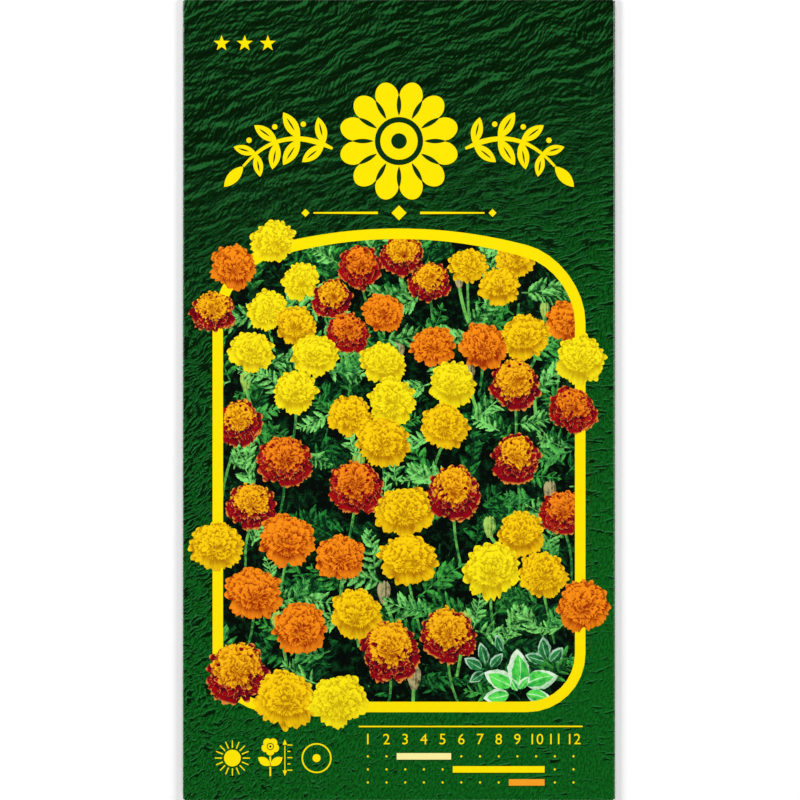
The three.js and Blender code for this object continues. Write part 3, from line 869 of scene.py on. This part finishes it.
def of_shapes(key, bare):
    """One value of every shape, and last the one of bare paper."""
    return np.array([shape[key] for shape in shapes] + [bare], dtype=float)


def store(name, kind, domain, values):
    """Stores an attribute on the sheet's mesh."""
    field = "color" if kind == "FLOAT_COLOR" else "vector"
    made = packet.attributes.new(name, kind, domain)
    made.data.foreach_set(field, values.astype(np.float32).ravel())


offset = corner_plan - of_shapes("at", (0, 0))[corner_owner]
along = of_shapes("along", (0, 1))[corner_owner]
length = np.hypot(*along.T)
ahead = along / length[:, None]
v = (offset * ahead).sum(axis=1) / length
u = (offset[:, 0] * ahead[:, 1] - offset[:, 1] * ahead[:, 0]) / \
    of_shapes("half_width", 1)[corner_owner]
motif = np.stack([u, v, of_shapes("seed", 0)[corner_owner]], axis=1)
store("motif", "FLOAT_VECTOR", "CORNER", motif)
store("shade", "FLOAT_VECTOR", "CORNER", of_shapes("shade", (1, 0, 0))[corner_owner])
store("ink_light", "FLOAT_COLOR", "FACE", of_shapes("light", (1, 1, 1, 1))[owner_all])
store("ink_deep", "FLOAT_COLOR", "FACE", of_shapes("deep", (1, 1, 1, 1))[owner_all])
store("plan", "FLOAT_VECTOR", "POINT", np.pad(plan_all, ((0, 0), (0, 1))))

# The bake's map gives the front most of the image, then the back, then the flaps, with the
# hidden inner face and the cut edge small.
centre_x, centre_y = corner_plan.reshape(-1, 3, 2).mean(axis=1).T
LEFT_END, TOP_END, BOTTOM_END = LEFT - SEAM_FOLD, TOP + END_FOLD, BOTTOM - END_FOLD
panel = np.select(
    [np.arange(len(triangles)) >= len(faces), centre_y < BOTTOM_END, centre_y > TOP_END,
     centre_x < LEFT_END, centre_x > BACK_START], [5, 4, 3, 2, 1], 0)
PANELS = [
    ((LEFT_END, BACK_START, BOTTOM_END, TOP_END), (0.008, 0.6, 0.008, 0.992)),
    ((BACK_START, BACK_EDGE, BOTTOM, TOP), (0.612, 0.992, 0.008, 0.715)),
    ((SEAM_EDGE, LEFT_END, BOTTOM, TOP), (0.612, 0.66, 0.735, 0.85)),
    ((LEFT, RIGHT, TOP_END, TOP_END + TOP_FLAP), (0.675, 0.992, 0.862, 0.992)),
    ((LEFT, RIGHT, BOTTOM_END - BOTTOM_FLAP, BOTTOM_END), (0.675, 0.992, 0.748, 0.85)),
    ((SEAM_EDGE, BACK_EDGE, BOTTOM_END - BOTTOM_FLAP, TOP_END + TOP_FLAP),
     (0.612, 0.66, 0.862, 0.992))]
bake_map = np.zeros_like(corner_plan)
for number, ((x0, x1, y0, y1), (u0, u1, v0, v1)) in enumerate(PANELS):
    own = np.repeat(panel == number, 3)
    share = (corner_plan[own] - (x0, y0)) / (x1 - x0, y1 - y0)
    bake_map[own] = (u0, v0) + share * (u1 - u0, v1 - v0)
first_wall = 3 * (len(faces) + len(inner_faces))
wall_u = np.linspace(0.612, 0.992, len(rim) + 1)
for k, (u0, u1) in enumerate(zip(wall_u, wall_u[1:])):
    b, a, d, c = (u1, 0.722), (u0, 0.722), (u0, 0.73), (u1, 0.73)
    bake_map[first_wall + 6 * k:first_wall + 6 * k + 6] = [b, a, d, b, d, c]
packet.uv_layers.new(name="OFBake").data.foreach_set("uv", bake_map.astype(np.float32).ravel())

# The paper's curve is shaded from the folded shape itself, so the mosaic's cuts never show.
normals = np.concatenate([outer_facing, -inner_facing])[triangles.reshape(-1)]
first, second, third = places[np.array(walls)].transpose(1, 0, 2)
wall_facing = np.cross(second - first, third - first)
wall_facing /= np.maximum(np.linalg.norm(wall_facing, axis=1, keepdims=True), 1e-12)
normals[first_wall:] = np.repeat(wall_facing, 3, axis=0)
packet.shade_smooth()
packet.normals_split_custom_set(normals.tolist())

# The paper's finish. Clay-coated 80 g paper, offset printed: a smooth satin face, whose gloss
# is broken only by the ink's lay and the paper's fibres. The inside is bare and a little rough.
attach(sheet, "root")
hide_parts("folded_sheet")


def add(tree, kind, *inputs, out=None, **settings):
    """Adds a node with its settings and gives the inputs that are then in use, in their order,
    links, numbers or hex colours, None leaving one as it is. Returns the named or first output."""
    node = tree.nodes.new("ShaderNode" + kind)
    for name, value in settings.items():
        setattr(node, name, value)
    for socket, value in zip([socket for socket in node.inputs if socket.enabled], inputs):
        if isinstance(value, bpy.types.NodeSocket):
            tree.links.new(value, socket)
        elif value is not None:
            socket.default_value = linear(value) if isinstance(value, str) else value
    return [socket for socket in node.outputs if socket.enabled and out in (None, socket.name)][0]


def new_finish(name):
    """A new material, its node tree and its surface's inputs."""
    made = bpy.data.materials.new(name)
    made.use_nodes = True
    return made, made.node_tree, made.node_tree.nodes["Principled BSDF"].inputs


def printed_paper(name, roughness=0.23):
    """A new material with the coated paper's finish, its tree and its base colour's socket."""
    made, tree, surface = new_finish(name)
    # Fibres show through the coating as a mottle about 0.5 mm across.
    mottle = add(tree, "TexNoise", add(tree, "TexCoord", out="Object"), 2000.0, 3.0)
    gloss = add(tree, "MapRange", mottle, 0.3, 0.7, roughness - 0.03, roughness + 0.04)
    tree.links.new(gloss, surface["Roughness"])
    tree.links.new(add(tree, "Bump", 0.12, 0.00002, None, mottle), surface["Normal"])
    return made, tree, surface["Base Color"]


# The ground's green, printed to look embossed. At the top it is nearly black, with light ridges
# 2 to 3 mm apart that rise to the right. Downwards it turns to mid green with dark gashes about
# 3 mm long, dense on the left and sparse on the right, over a hammered grain of 0.4 mm.
ground_ink, tree, base = printed_paper("offset_ink_rippled_green")
plan_place = add(tree, "Attribute", out="Vector", attribute_name="plan")
x, y, _ = add(tree, "SeparateXYZ", plan_place).node.outputs
sway = add(tree, "TexNoise", plan_place, 0.06, 2.0, out="Color")
bent = add(tree, "VectorMath", sway, (7, 7, 0), plan_place, operation="MULTIPLY_ADD")
bent_x, bent_y, _ = add(tree, "SeparateXYZ", bent).node.outputs
slope = add(tree, "Math", bent_x, 0.0033, -0.28, operation="MULTIPLY_ADD")
sheared = add(tree, "Math", slope, bent_x, bent_y, operation="MULTIPLY_ADD")
straight = add(tree, "CombineXYZ", bent_x, sheared)
buckle = add(tree, "TexNoise", plan_place, 0.42, 2.0, out="Color")
gash_lines = add(tree, "VectorMath", buckle, (1.9, 1.9, 0), straight, operation="MULTIPLY_ADD")
# Each noise is drawn out along a tilted line, to grains of this length and width. Most are taken
# at two spots close together, which gives a ridge its slope and a gash its lit side.
HERE, BY_GASH = (0, 0, 0), (-0.12, 0.27, 0)
noises = []
for place, spots, tilt, size, detail, roughness in (
        (bent, (HERE, (-0.3, 0.46, 0)), 19, (7.2, 2.1, 1), 3.0, 0.6),
        (bent, (HERE, (-0.18, 0.24, 0)), 50, (1.6, 0.5, 1), 3.0, 0.6),
        (gash_lines, (HERE, BY_GASH), 0, (1.9, 0.78, 1), 4.0, 0.66),
        (bent, (HERE, BY_GASH), 7, (4.4, 0.95, 1), 4.0, 0.66),
        (bent, (HERE,), 64, (0.8, 0.36, 1), 2.0, 0.6)):
    for spot in spots:
        drawn_out = add(tree, "Mapping", place, spot, (0, 0, math.radians(tilt)), size,
                        vector_type="TEXTURE")
        noises.append(add(tree, "TexNoise", drawn_out, 1.0, detail, roughness))
ridge, ridge_off, fine, fine_off, short, short_lit, level, level_lit, hammered = noises

relief = 0.0
for here, there, weight in ((ridge, ridge_off, 1.0), (fine, fine_off, 0.5)):
    rise = add(tree, "Math", here, there, operation="SUBTRACT")
    relief = add(tree, "Math", rise, weight, relief, operation="MULTIPLY_ADD")
ripple = add(tree, "ValToRGB", add(tree, "MapRange", relief, -0.17, 0.17))
stops = ripple.node.color_ramp.elements
stops[0].position, stops[1].position = 0.12, 0.88
for position in (0.36, 0.52, 0.68):
    stops.new(position)
for stop, ink in zip(stops, ("#001600", "#001A02", "#022708", "#113F18", "#1C6029")):
    stop.color = linear(ink)

# How far down the front a spot is, from -65 at the top to 85 at the foot. The gashes thin out
# downwards and to the right, where short close ones pass into long, nearly level ones.
down = add(tree, "Math", y, -1.0, operation="MULTIPLY")
fall = add(tree, "Math", x, 0.25, down, operation="MULTIPLY_ADD")
thinning = add(tree, "Math", x, 0.8, fall, operation="MULTIPLY_ADD")
sparse = add(tree, "MapRange", thinning, -80.0, 80.0, 0.45, 0.585)
rightwards = add(tree, "MapRange", x, -25.0, 25.0)
gashes = []
for left, right in ((short, level), (short_lit, level_lit)):
    depth = add(tree, "Math", add(tree, "Mix", rightwards, left, right), sparse,
                operation="SUBTRACT")
    gashes.append(add(tree, "MapRange", depth, 0.0, 0.035, interpolation_type="SMOOTHSTEP"))
smoother = add(tree, "MapRange", thinning, 0.0, 90.0, 0.0, 0.34)
grain = add(tree, "MapRange", hammered, 0.4, 0.6, smoother)
brighter = add(tree, "MapRange", fall, -50.0, 30.0)
glint = add(tree, "Math", gashes[1], 0.7, operation="MULTIPLY")
flatness = add(tree, "MapRange", fall, -62.0, -14.0, interpolation_type="SMOOTHSTEP")
upper, lower = [add(tree, "Mix", grain, deep, light, data_type="RGBA")
                for deep, light in (("#012A06", "#0C5318"), ("#012C05", "#0C641B"))]

# Along the folds the ink is rubbed thin in flecks, 0.4 mm to either side of the crease.
side_fold, end_fold = [
    add(tree, "Math", add(tree, "Math", axis, operation="ABSOLUTE"), crease, 0.4,
        operation="COMPARE")
    for axis, crease in ((x, RIGHT + LONG_FOLD / 2), (y, TOP + END_FOLD / 2))]
on_fold = add(tree, "Math", side_fold, end_fold, operation="MAXIMUM")
rub = add(tree, "TexNoise", plan_place, 2.2, 4.0, 0.7)
flecks = add(tree, "MapRange", rub, 0.52, 0.68, 0.0, 0.4)
thin_ink = add(tree, "Math", on_fold, flecks, operation="MULTIPLY")
green = upper
for share, other in ((brighter, lower), (glint, "#247436"), (gashes[0], "#001A02")):
    green = add(tree, "Mix", share, green, other, data_type="RGBA")
green = add(tree, "Mix", flatness, ripple, green, data_type="RGBA")
worn = add(tree, "Mix", thin_ink, green, "#A9BFA6", data_type="RGBA")
tree.links.new(worn, base)

# Flat ink: the yellow frame and signs, solid colours with the press's slight unevenness.
flat_ink, tree, base = printed_paper("offset_ink_solid")
solid = add(tree, "Attribute", attribute_name="ink_light")
lay_down = add(tree, "TexNoise", add(tree, "TexCoord", out="Object"), 900.0, 2.0)
uneven = add(tree, "MapRange", lay_down, 0.3, 0.7, 0.965)
tree.links.new(add(tree, "VectorMath", solid, uneven, operation="SCALE"), base)


# Petal ink: each petal comes out of the shade under the ring above it and is lightest at its
# lip, with fine streaks along it. The bicoloured ones have a thin gold edge.
def shape_ink(name):
    """Printed paper that reads what its shape's ink has to know: its frame, the three numbers
    of its shade and its two colours."""
    made, tree, base = printed_paper(name)
    motif, shade = [add(tree, "Attribute", out="Vector", attribute_name=attribute)
                    for attribute in ("motif", "shade")]
    colours = [add(tree, "Attribute", attribute_name=attribute)
               for attribute in ("ink_deep", "ink_light")]
    shades = add(tree, "SeparateXYZ", shade).node.outputs
    return made, tree, base, motif, add(tree, "SeparateXYZ", motif).node.outputs, shades, colours


petal_ink, tree, base, motif, (across, ahead, _), (tone, lip, throat), inks = \
    shape_ink("offset_ink_petals")
streak_place = add(tree, "Mapping", motif, None, None, (2.4, 0.8, 1.0))
streaks = add(tree, "TexNoise", streak_place, 1.5, 3.0, 0.6)
streaky = add(tree, "MapRange", streaks, 0.25, 0.75, -0.28, 0.26)
out_of_shade = add(tree, "MapRange", ahead, throat, 1.0)
lift = add(tree, "MapRange", out_of_shade, 0.0, 0.7, 0.12, 1.0, interpolation_type="SMOOTHSTEP")
rise = add(tree, "Math", lift, tone, operation="MULTIPLY")
tucked = add(tree, "MapRange", across, -0.95, -0.3, -0.34, 0.0)
share = add(tree, "Math", add(tree, "Math", rise, tucked), streaky)
petal_colour = add(tree, "Mix", share, *inks, data_type="RGBA")
side = add(tree, "Math", across, operation="ABSOLUTE")
edge = add(tree, "Math", ahead, side, operation="MAXIMUM")
gold_edge = add(tree, "MapRange", edge, 0.86, 0.94)
gold_share = add(tree, "Math", gold_edge, lip, operation="MULTIPLY")
edged = add(tree, "Mix", gold_share, petal_colour, "#EC9A3A", data_type="RGBA")
tree.links.new(edged, base)

# Crest ink: 36 frilled florets round the eye, or about 22 on the bicoloured ones, each 1.2 mm
# long, light at its outer end and deep where it comes out from under the next. Its frame is in
# millimetres, and its tone and throat hold the blossom's radius and the crest's share of it.
FLORETS = 36
FEWER_FLORETS = 17
FLORET_LENGTH = 1.2
crest_ink, tree, base, motif, (across, ahead, blossom_seed), (radius, lip, _), inks = \
    shape_ink("offset_ink_crests")
eye = add(tree, "Math", radius, -0.14, operation="MULTIPLY")
from_eye = add(tree, "Math", ahead, eye, operation="SUBTRACT")
away = add(tree, "VectorMath", add(tree, "CombineXYZ", across, from_eye), operation="LENGTH")
turn = add(tree, "Math", across, from_eye, operation="ARCTAN2")
per_turn = add(tree, "Math", lip, -FEWER_FLORETS / (2 * math.pi), FLORETS / (2 * math.pi),
               operation="MULTIPLY_ADD")
column = add(tree, "Math", turn, per_turn, operation="MULTIPLY")
row = add(tree, "Math", away, FLORET_LENGTH, operation="DIVIDE")
rows = add(tree, "CombineXYZ", column, row, blossom_seed)
ruffle = add(tree, "TexNoise", motif, 1.0, 2.0, out="Color")
ruffled = add(tree, "VectorMath", ruffle, (2.0, 1.5, 0), rows, operation="MULTIPLY_ADD")
florets = add(tree, "TexVoronoi", ruffled, 1.0).node.outputs
clefts = add(tree, "TexVoronoi", ruffled, 1.0, feature="DISTANCE_TO_EDGE")
in_floret = add(tree, "VectorMath", ruffled, florets["Position"], operation="SUBTRACT")
outer_end = add(tree, "SeparateXYZ", in_floret, out="Y")
own_tone = add(tree, "SeparateXYZ", florets["Color"], out="X")
grain = add(tree, "TexNoise", motif, 2.6, 3.0, 0.7)
share_out = add(tree, "Math", away, radius, operation="DIVIDE")
# A few deep hollows open between the florets near the eye.
openings = add(tree, "TexNoise", motif, 0.75, 2.0)
opening = add(tree, "MapRange", openings, 0.52, 0.66, interpolation_type="SMOOTHSTEP")
inwards = add(tree, "MapRange", share_out, 0.15, 0.6, -0.5, -0.06)
share = add(tree, "MapRange", outer_end, -0.6, 0.3, interpolation_type="SMOOTHSTEP")
for part in (
        add(tree, "MapRange", clefts, 0.0, 0.16, -0.32, 0.0),
        add(tree, "MapRange", own_tone, None, None, -0.22, 0.14),
        add(tree, "MapRange", grain, 0.3, 0.7, -0.16, 0.16),
        add(tree, "MapRange", share_out, 0.0, 0.45, -0.2, 0.2, interpolation_type="SMOOTHSTEP"),
        add(tree, "VectorMath", motif, (-0.03, 0.06, 0), operation="DOT_PRODUCT"),
        add(tree, "Math", opening, inwards, operation="MULTIPLY")):
    share = add(tree, "Math", share, part)
crest_colour = add(tree, "Mix", share, *inks, data_type="RGBA")
gold_share = lip
for part in (add(tree, "MapRange", clefts, 0.085, 0.025),
             add(tree, "MapRange", outer_end, 0.1, 0.32)):
    gold_share = add(tree, "Math", gold_share, part, operation="MULTIPLY")
edged = add(tree, "Mix", gold_share, crest_colour, "#F2A044", data_type="RGBA")
tree.links.new(edged, base)

# Leaf ink: each leaflet is folded along its midrib, with one half in the light and the other in
# shade, a pale rib between them, and glints and shadows about 0.6 mm across from its neighbours.
leaf_ink, tree, base, motif, (across, ahead, _), (share, _, _), inks = \
    shape_ink("offset_ink_leaves")
plan_place = add(tree, "Attribute", out="Vector", attribute_name="plan")
side = add(tree, "Math", across, operation="ABSOLUTE")
dapple = add(tree, "TexNoise", plan_place, 0.85, 4.0, 0.65)
for part in (
        add(tree, "MapRange", across, -0.12, 0.12, 0.16, -0.16),
        add(tree, "MapRange", side, 0.06, 0.2, 0.22, 0.0),
        add(tree, "MapRange", dapple, 0.33, 0.67, -0.56, 0.46),
        add(tree, "MapRange", ahead, None, None, -0.16, 0.14)):
    share = add(tree, "Math", share, part)
share = add(tree, "MapRange", share, 0.32, 1.2)
tree.links.new(add(tree, "Mix", share, *inks, data_type="RGBA"), base)

# Shade ink: the dark between the plants, with dim flecks of stalks and leaves deep in the bed.
shade_ink, tree, base = printed_paper("offset_ink_shade")
plan_place = add(tree, "Attribute", out="Vector", attribute_name="plan")
depths = add(tree, "TexNoise", plan_place, 0.5, 5.0, 0.7)
fleck = add(tree, "MapRange", depths, 0.5, 0.72)
dim = add(tree, "Mix", fleck, "#000602", "#0B431C", data_type="RGBA")
tree.links.new(dim, base)

# The inside and the cut edge: bare white paper with its fibres.
bare_paper, tree, base = printed_paper("uncoated_white_paper", 0.62)
fibres = add(tree, "TexNoise", add(tree, "TexCoord", out="Object"), 1400.0, 4.0)
white = add(tree, "Mix", fibres, "#E4E1D8", "#F6F4EE", data_type="RGBA")
tree.links.new(white, base)

INKS = {"ground": ground_ink, "flat": flat_ink, "petal": petal_ink, "crest": crest_ink,
        "leaf": leaf_ink, "shade": shade_ink}
for ink in (*INKS.values(), bare_paper):
    packet.materials.append(ink)
ink_number = {name: number for number, name in enumerate(INKS)}
numbers = np.array([ink_number[shape["ink"]] for shape in shapes] + [len(INKS)], dtype=np.int32)
packet.polygons.foreach_set("material_index", numbers[owner_all])

# Three films of dried dispersion glue hold the envelope shut: one under the seam flap and one
# under each end flap. Rolled on wet and pressed, they dry to a thin, uneven, amber-white skin.
dried_glue, tree, surface = new_finish("dried_dispersion_glue")
# The roller leaves streaks about 1.5 mm apart.
roller_place = add(tree, "Mapping", add(tree, "TexCoord", out="Object"), None, None,
                   (0.002, 0.0015, 1), vector_type="TEXTURE")
rolled = add(tree, "TexNoise", roller_place, 1.0, 4.0, 0.6)
amber = add(tree, "Mix", rolled, "#D9CFA6", "#F3EEDC", data_type="RGBA")
tree.links.new(amber, surface["Base Color"])
tree.links.new(add(tree, "Bump", 0.4, 0.00003, None, rolled), surface["Normal"])
surface["Roughness"].default_value = 0.32
surface["IOR"].default_value = 1.47
for name in ("seam_glue", "bottom_flap_glue", "top_flap_glue"):
    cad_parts[name].material_slots[0].material = dried_glue

# The seeds, loose in the pocket: slender ribbed husks 7.5 mm long, nearly black, each with a
# brush of straw-coloured bristles. One is modelled upright at 1 unit to the millimetre and then
# copied, laid down and scaled to where the frame has its seeds.
SEED_BODY = 7.5
SEED_RADIUS = 0.42
RIBS = 7
RIB_DEPTH = 0.8
GIRTHS = {0: 0.35, 0.06: 0.58, 0.3: 0.84, 0.55: 0.95, 0.8: 0.98, 0.94: 0.86, 1: 0.62}
BRISTLES = 9
BRUSH_LENGTH = 3.0
BRUSH_RADIUS = 0.75
tail = -(SEED_BODY + BRUSH_LENGTH) / 2
neck = tail + SEED_BODY

husk, tree, surface = new_finish("dry_seed_husk")
# Pale fibres run along the husk, about 0.15 mm apart.
grain_place = add(tree, "Attribute", out="Vector", attribute_name="grain")
fibre_place = add(tree, "Mapping", grain_place, None, None, (0.15, 0.15, 2.0),
                  vector_type="TEXTURE")
fibres = add(tree, "TexNoise", fibre_place, 1.0, 3.0)
pale = add(tree, "MapRange", fibres, 0.48, 0.72)
brown = add(tree, "Mix", pale, "#1E1712", "#5C4A38", data_type="RGBA")
tree.links.new(brown, surface["Base Color"])
tree.links.new(add(tree, "Bump", 0.5, 0.00004, None, fibres), surface["Normal"])
surface["Roughness"].default_value = 0.72

bristle, tree, surface = new_finish("dry_straw_bristle")
grain_place = add(tree, "Attribute", out="Vector", attribute_name="grain")
speckle = add(tree, "TexNoise", grain_place, 3.0, 2.0)
straw = add(tree, "Mix", speckle, "#B89C62", "#E6D6A8", data_type="RGBA")
tree.links.new(straw, surface["Base Color"])
surface["Roughness"].default_value = 0.6

bpy.ops.mesh.primitive_cylinder_add(vertices=2 * RIBS, radius=SEED_RADIUS, depth=SEED_BODY,
                                    location=(0, 0, tail + SEED_BODY / 2))
pattern_seed = bpy.context.active_object
bpy.ops.object.mode_set(mode="EDIT")
for share in list(GIRTHS)[1:-1]:
    bpy.ops.mesh.select_all(action="SELECT")
    bpy.ops.mesh.bisect(plane_co=(0, 0, tail + SEED_BODY * share), plane_no=(0, 0, 1))
shaping = bmesh.from_edit_mesh(pattern_seed.data)
for share, girth in GIRTHS.items():
    level = tail + SEED_BODY * share
    for vertex in shaping.verts:
        vertex.select = abs(vertex.co.z - level) < 0.01
    shaping.select_flush_mode()
    bpy.ops.transform.resize(value=(girth, girth, 1), center_override=(0, 0, level))
for vertex in shaping.verts:
    column = round(math.atan2(vertex.co.y, vertex.co.x) / math.pi * RIBS)
    vertex.select = column % 2 == 0
shaping.select_flush_mode()
bpy.ops.transform.resize(value=(RIB_DEPTH, RIB_DEPTH, 1), center_override=(0, 0, 0))
bpy.ops.object.mode_set(mode="OBJECT")
pattern_seed.data.materials.append(husk)
for k in range(BRISTLES):
    turn = 2 * math.pi * k / BRISTLES
    splay = math.atan2(BRUSH_RADIUS - 0.22, BRUSH_LENGTH) * (0.55 + 0.4 * (k % 2))
    length = BRUSH_LENGTH * (0.98 if k % 2 else 0.86)
    bpy.ops.mesh.primitive_cone_add(
        vertices=3, radius1=0.09, radius2=0.02, depth=length, rotation=(0, splay, turn),
        location=(*polar(0, 0, 0.16 + math.sin(splay) * length / 2, turn),
                  neck - 0.05 + length / 2))
    bpy.context.active_object.data.materials.append(bristle)
    pattern_seed.select_set(True)
    bpy.context.view_layer.objects.active = pattern_seed
    bpy.ops.object.join()
bpy.ops.object.shade_smooth_by_angle(angle=math.radians(40))
grain = pattern_seed.data.attributes.new("grain", "FLOAT_VECTOR", "POINT")
upright = np.array([tuple(vertex.co) for vertex in pattern_seed.data.vertices], dtype=np.float32)
grain.data.foreach_set("vector", upright.ravel())

# Each of the frame's seeds gives the line that its husk lies along, the wide end being its brush.
for name in sorted(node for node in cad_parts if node.startswith("seed_")):
    spots = np.array([tuple(vertex.co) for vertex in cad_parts[name].data.vertices])
    middle = (spots.max(axis=0) + spots.min(axis=0)) / 2
    away = (spots - spots.mean(axis=0))[:, :2]
    lengthwise = np.linalg.svd(away, full_matrices=False)[2][0]
    along = away @ lengthwise
    width = np.abs(away @ (-lengthwise[1], lengthwise[0]))
    if width[along > 0].max() < width[along < 0].max():
        lengthwise = -lengthwise
    ends = spots[:, :2] @ lengthwise
    centre = middle[:2] + lengthwise * ((ends.max() + ends.min()) / 2 - middle[:2] @ lengthwise)
    laid = Matrix.Translation((*centre, middle[2]))
    laid @= Matrix.Rotation(math.atan2(lengthwise[1], lengthwise[0]), 4, "Z")
    laid @= Matrix.Rotation(math.radians(90), 4, "Y") @ Matrix.Rotation(middle[0] * 900, 4, "Z")
    one = bpy.data.objects.new(name + "_husk", pattern_seed.data.copy())
    one.data.transform(laid @ Matrix.Scale(MM, 4))
    bpy.context.scene.collection.objects.link(one)
    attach(one, "root")
    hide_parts(name)
bpy.data.objects.remove(pattern_seed)

# The photographer's table: a plain pale floor under the packet, and soft lamps on its four
# sides, as on a copy stand, low enough that their gloss misses the camera.
FLOOR_DROP = 0.0001
bpy.ops.mesh.primitive_plane_add(size=3, location=(0, 0, -FLOOR_DROP))
floor = bpy.context.active_object
floor.name = "floor"
paper_floor, _, surface = new_finish("white_paper_floor")
surface["Base Color"].default_value = (0.97, 0.97, 0.97, 1)
surface["Roughness"].default_value = 0.9
surface["Specular IOR Level"].default_value = 0.1
floor.data.materials.append(paper_floor)

for name, place, power in (
        ("lamp_left", (-0.9, 0.25, 0.58), 8.1), ("lamp_right", (0.9, 0.2, 0.58), 6.8),
        ("lamp_top", (-0.1, 0.95, 0.58), 5.4), ("lamp_foot", (0.1, -0.95, 0.58), 4.5)):
    lamp = bpy.data.lights.new(name, "AREA")
    lamp.shape = "DISK"
    lamp.size = 0.45
    lamp.energy = power
    holder = bpy.data.objects.new(name, lamp)
    holder.location = place
    holder.rotation_euler = (-Vector(place)).to_track_quat("-Z", "Y").to_euler()
    bpy.context.scene.collection.objects.link(holder)

world = bpy.data.worlds.new("studio")
world.use_nodes = True
background = world.node_tree.nodes["Background"]
background.inputs["Color"].default_value = (1, 1, 1, 1)
background.inputs["Strength"].default_value = 0.02
bpy.context.scene.world = world
bpy.context.scene.view_settings.view_transform = "Standard"
bpy.context.scene.view_settings.look = "None"

# The camera looks straight down from 1.6 m. The packet fills the picture's height, and its two
# folded ends lie just outside.
CAMERA_HEIGHT = 1.6
CAMERA_RIGHT = 0.0002
END_OUTSIDE = 0.4
SENSOR = 36
view = bpy.data.cameras.new("camera")
view.sensor_width = SENSOR
view.lens = SENSOR * (CAMERA_HEIGHT - FRONT_LEVEL * MM) / ((HEIGHT - 2 * END_OUTSIDE) * MM)
camera = bpy.data.objects.new("camera", view)
camera.location = (CAMERA_RIGHT, 0, CAMERA_HEIGHT)
bpy.context.scene.collection.objects.link(camera)
bpy.context.scene.camera = camera
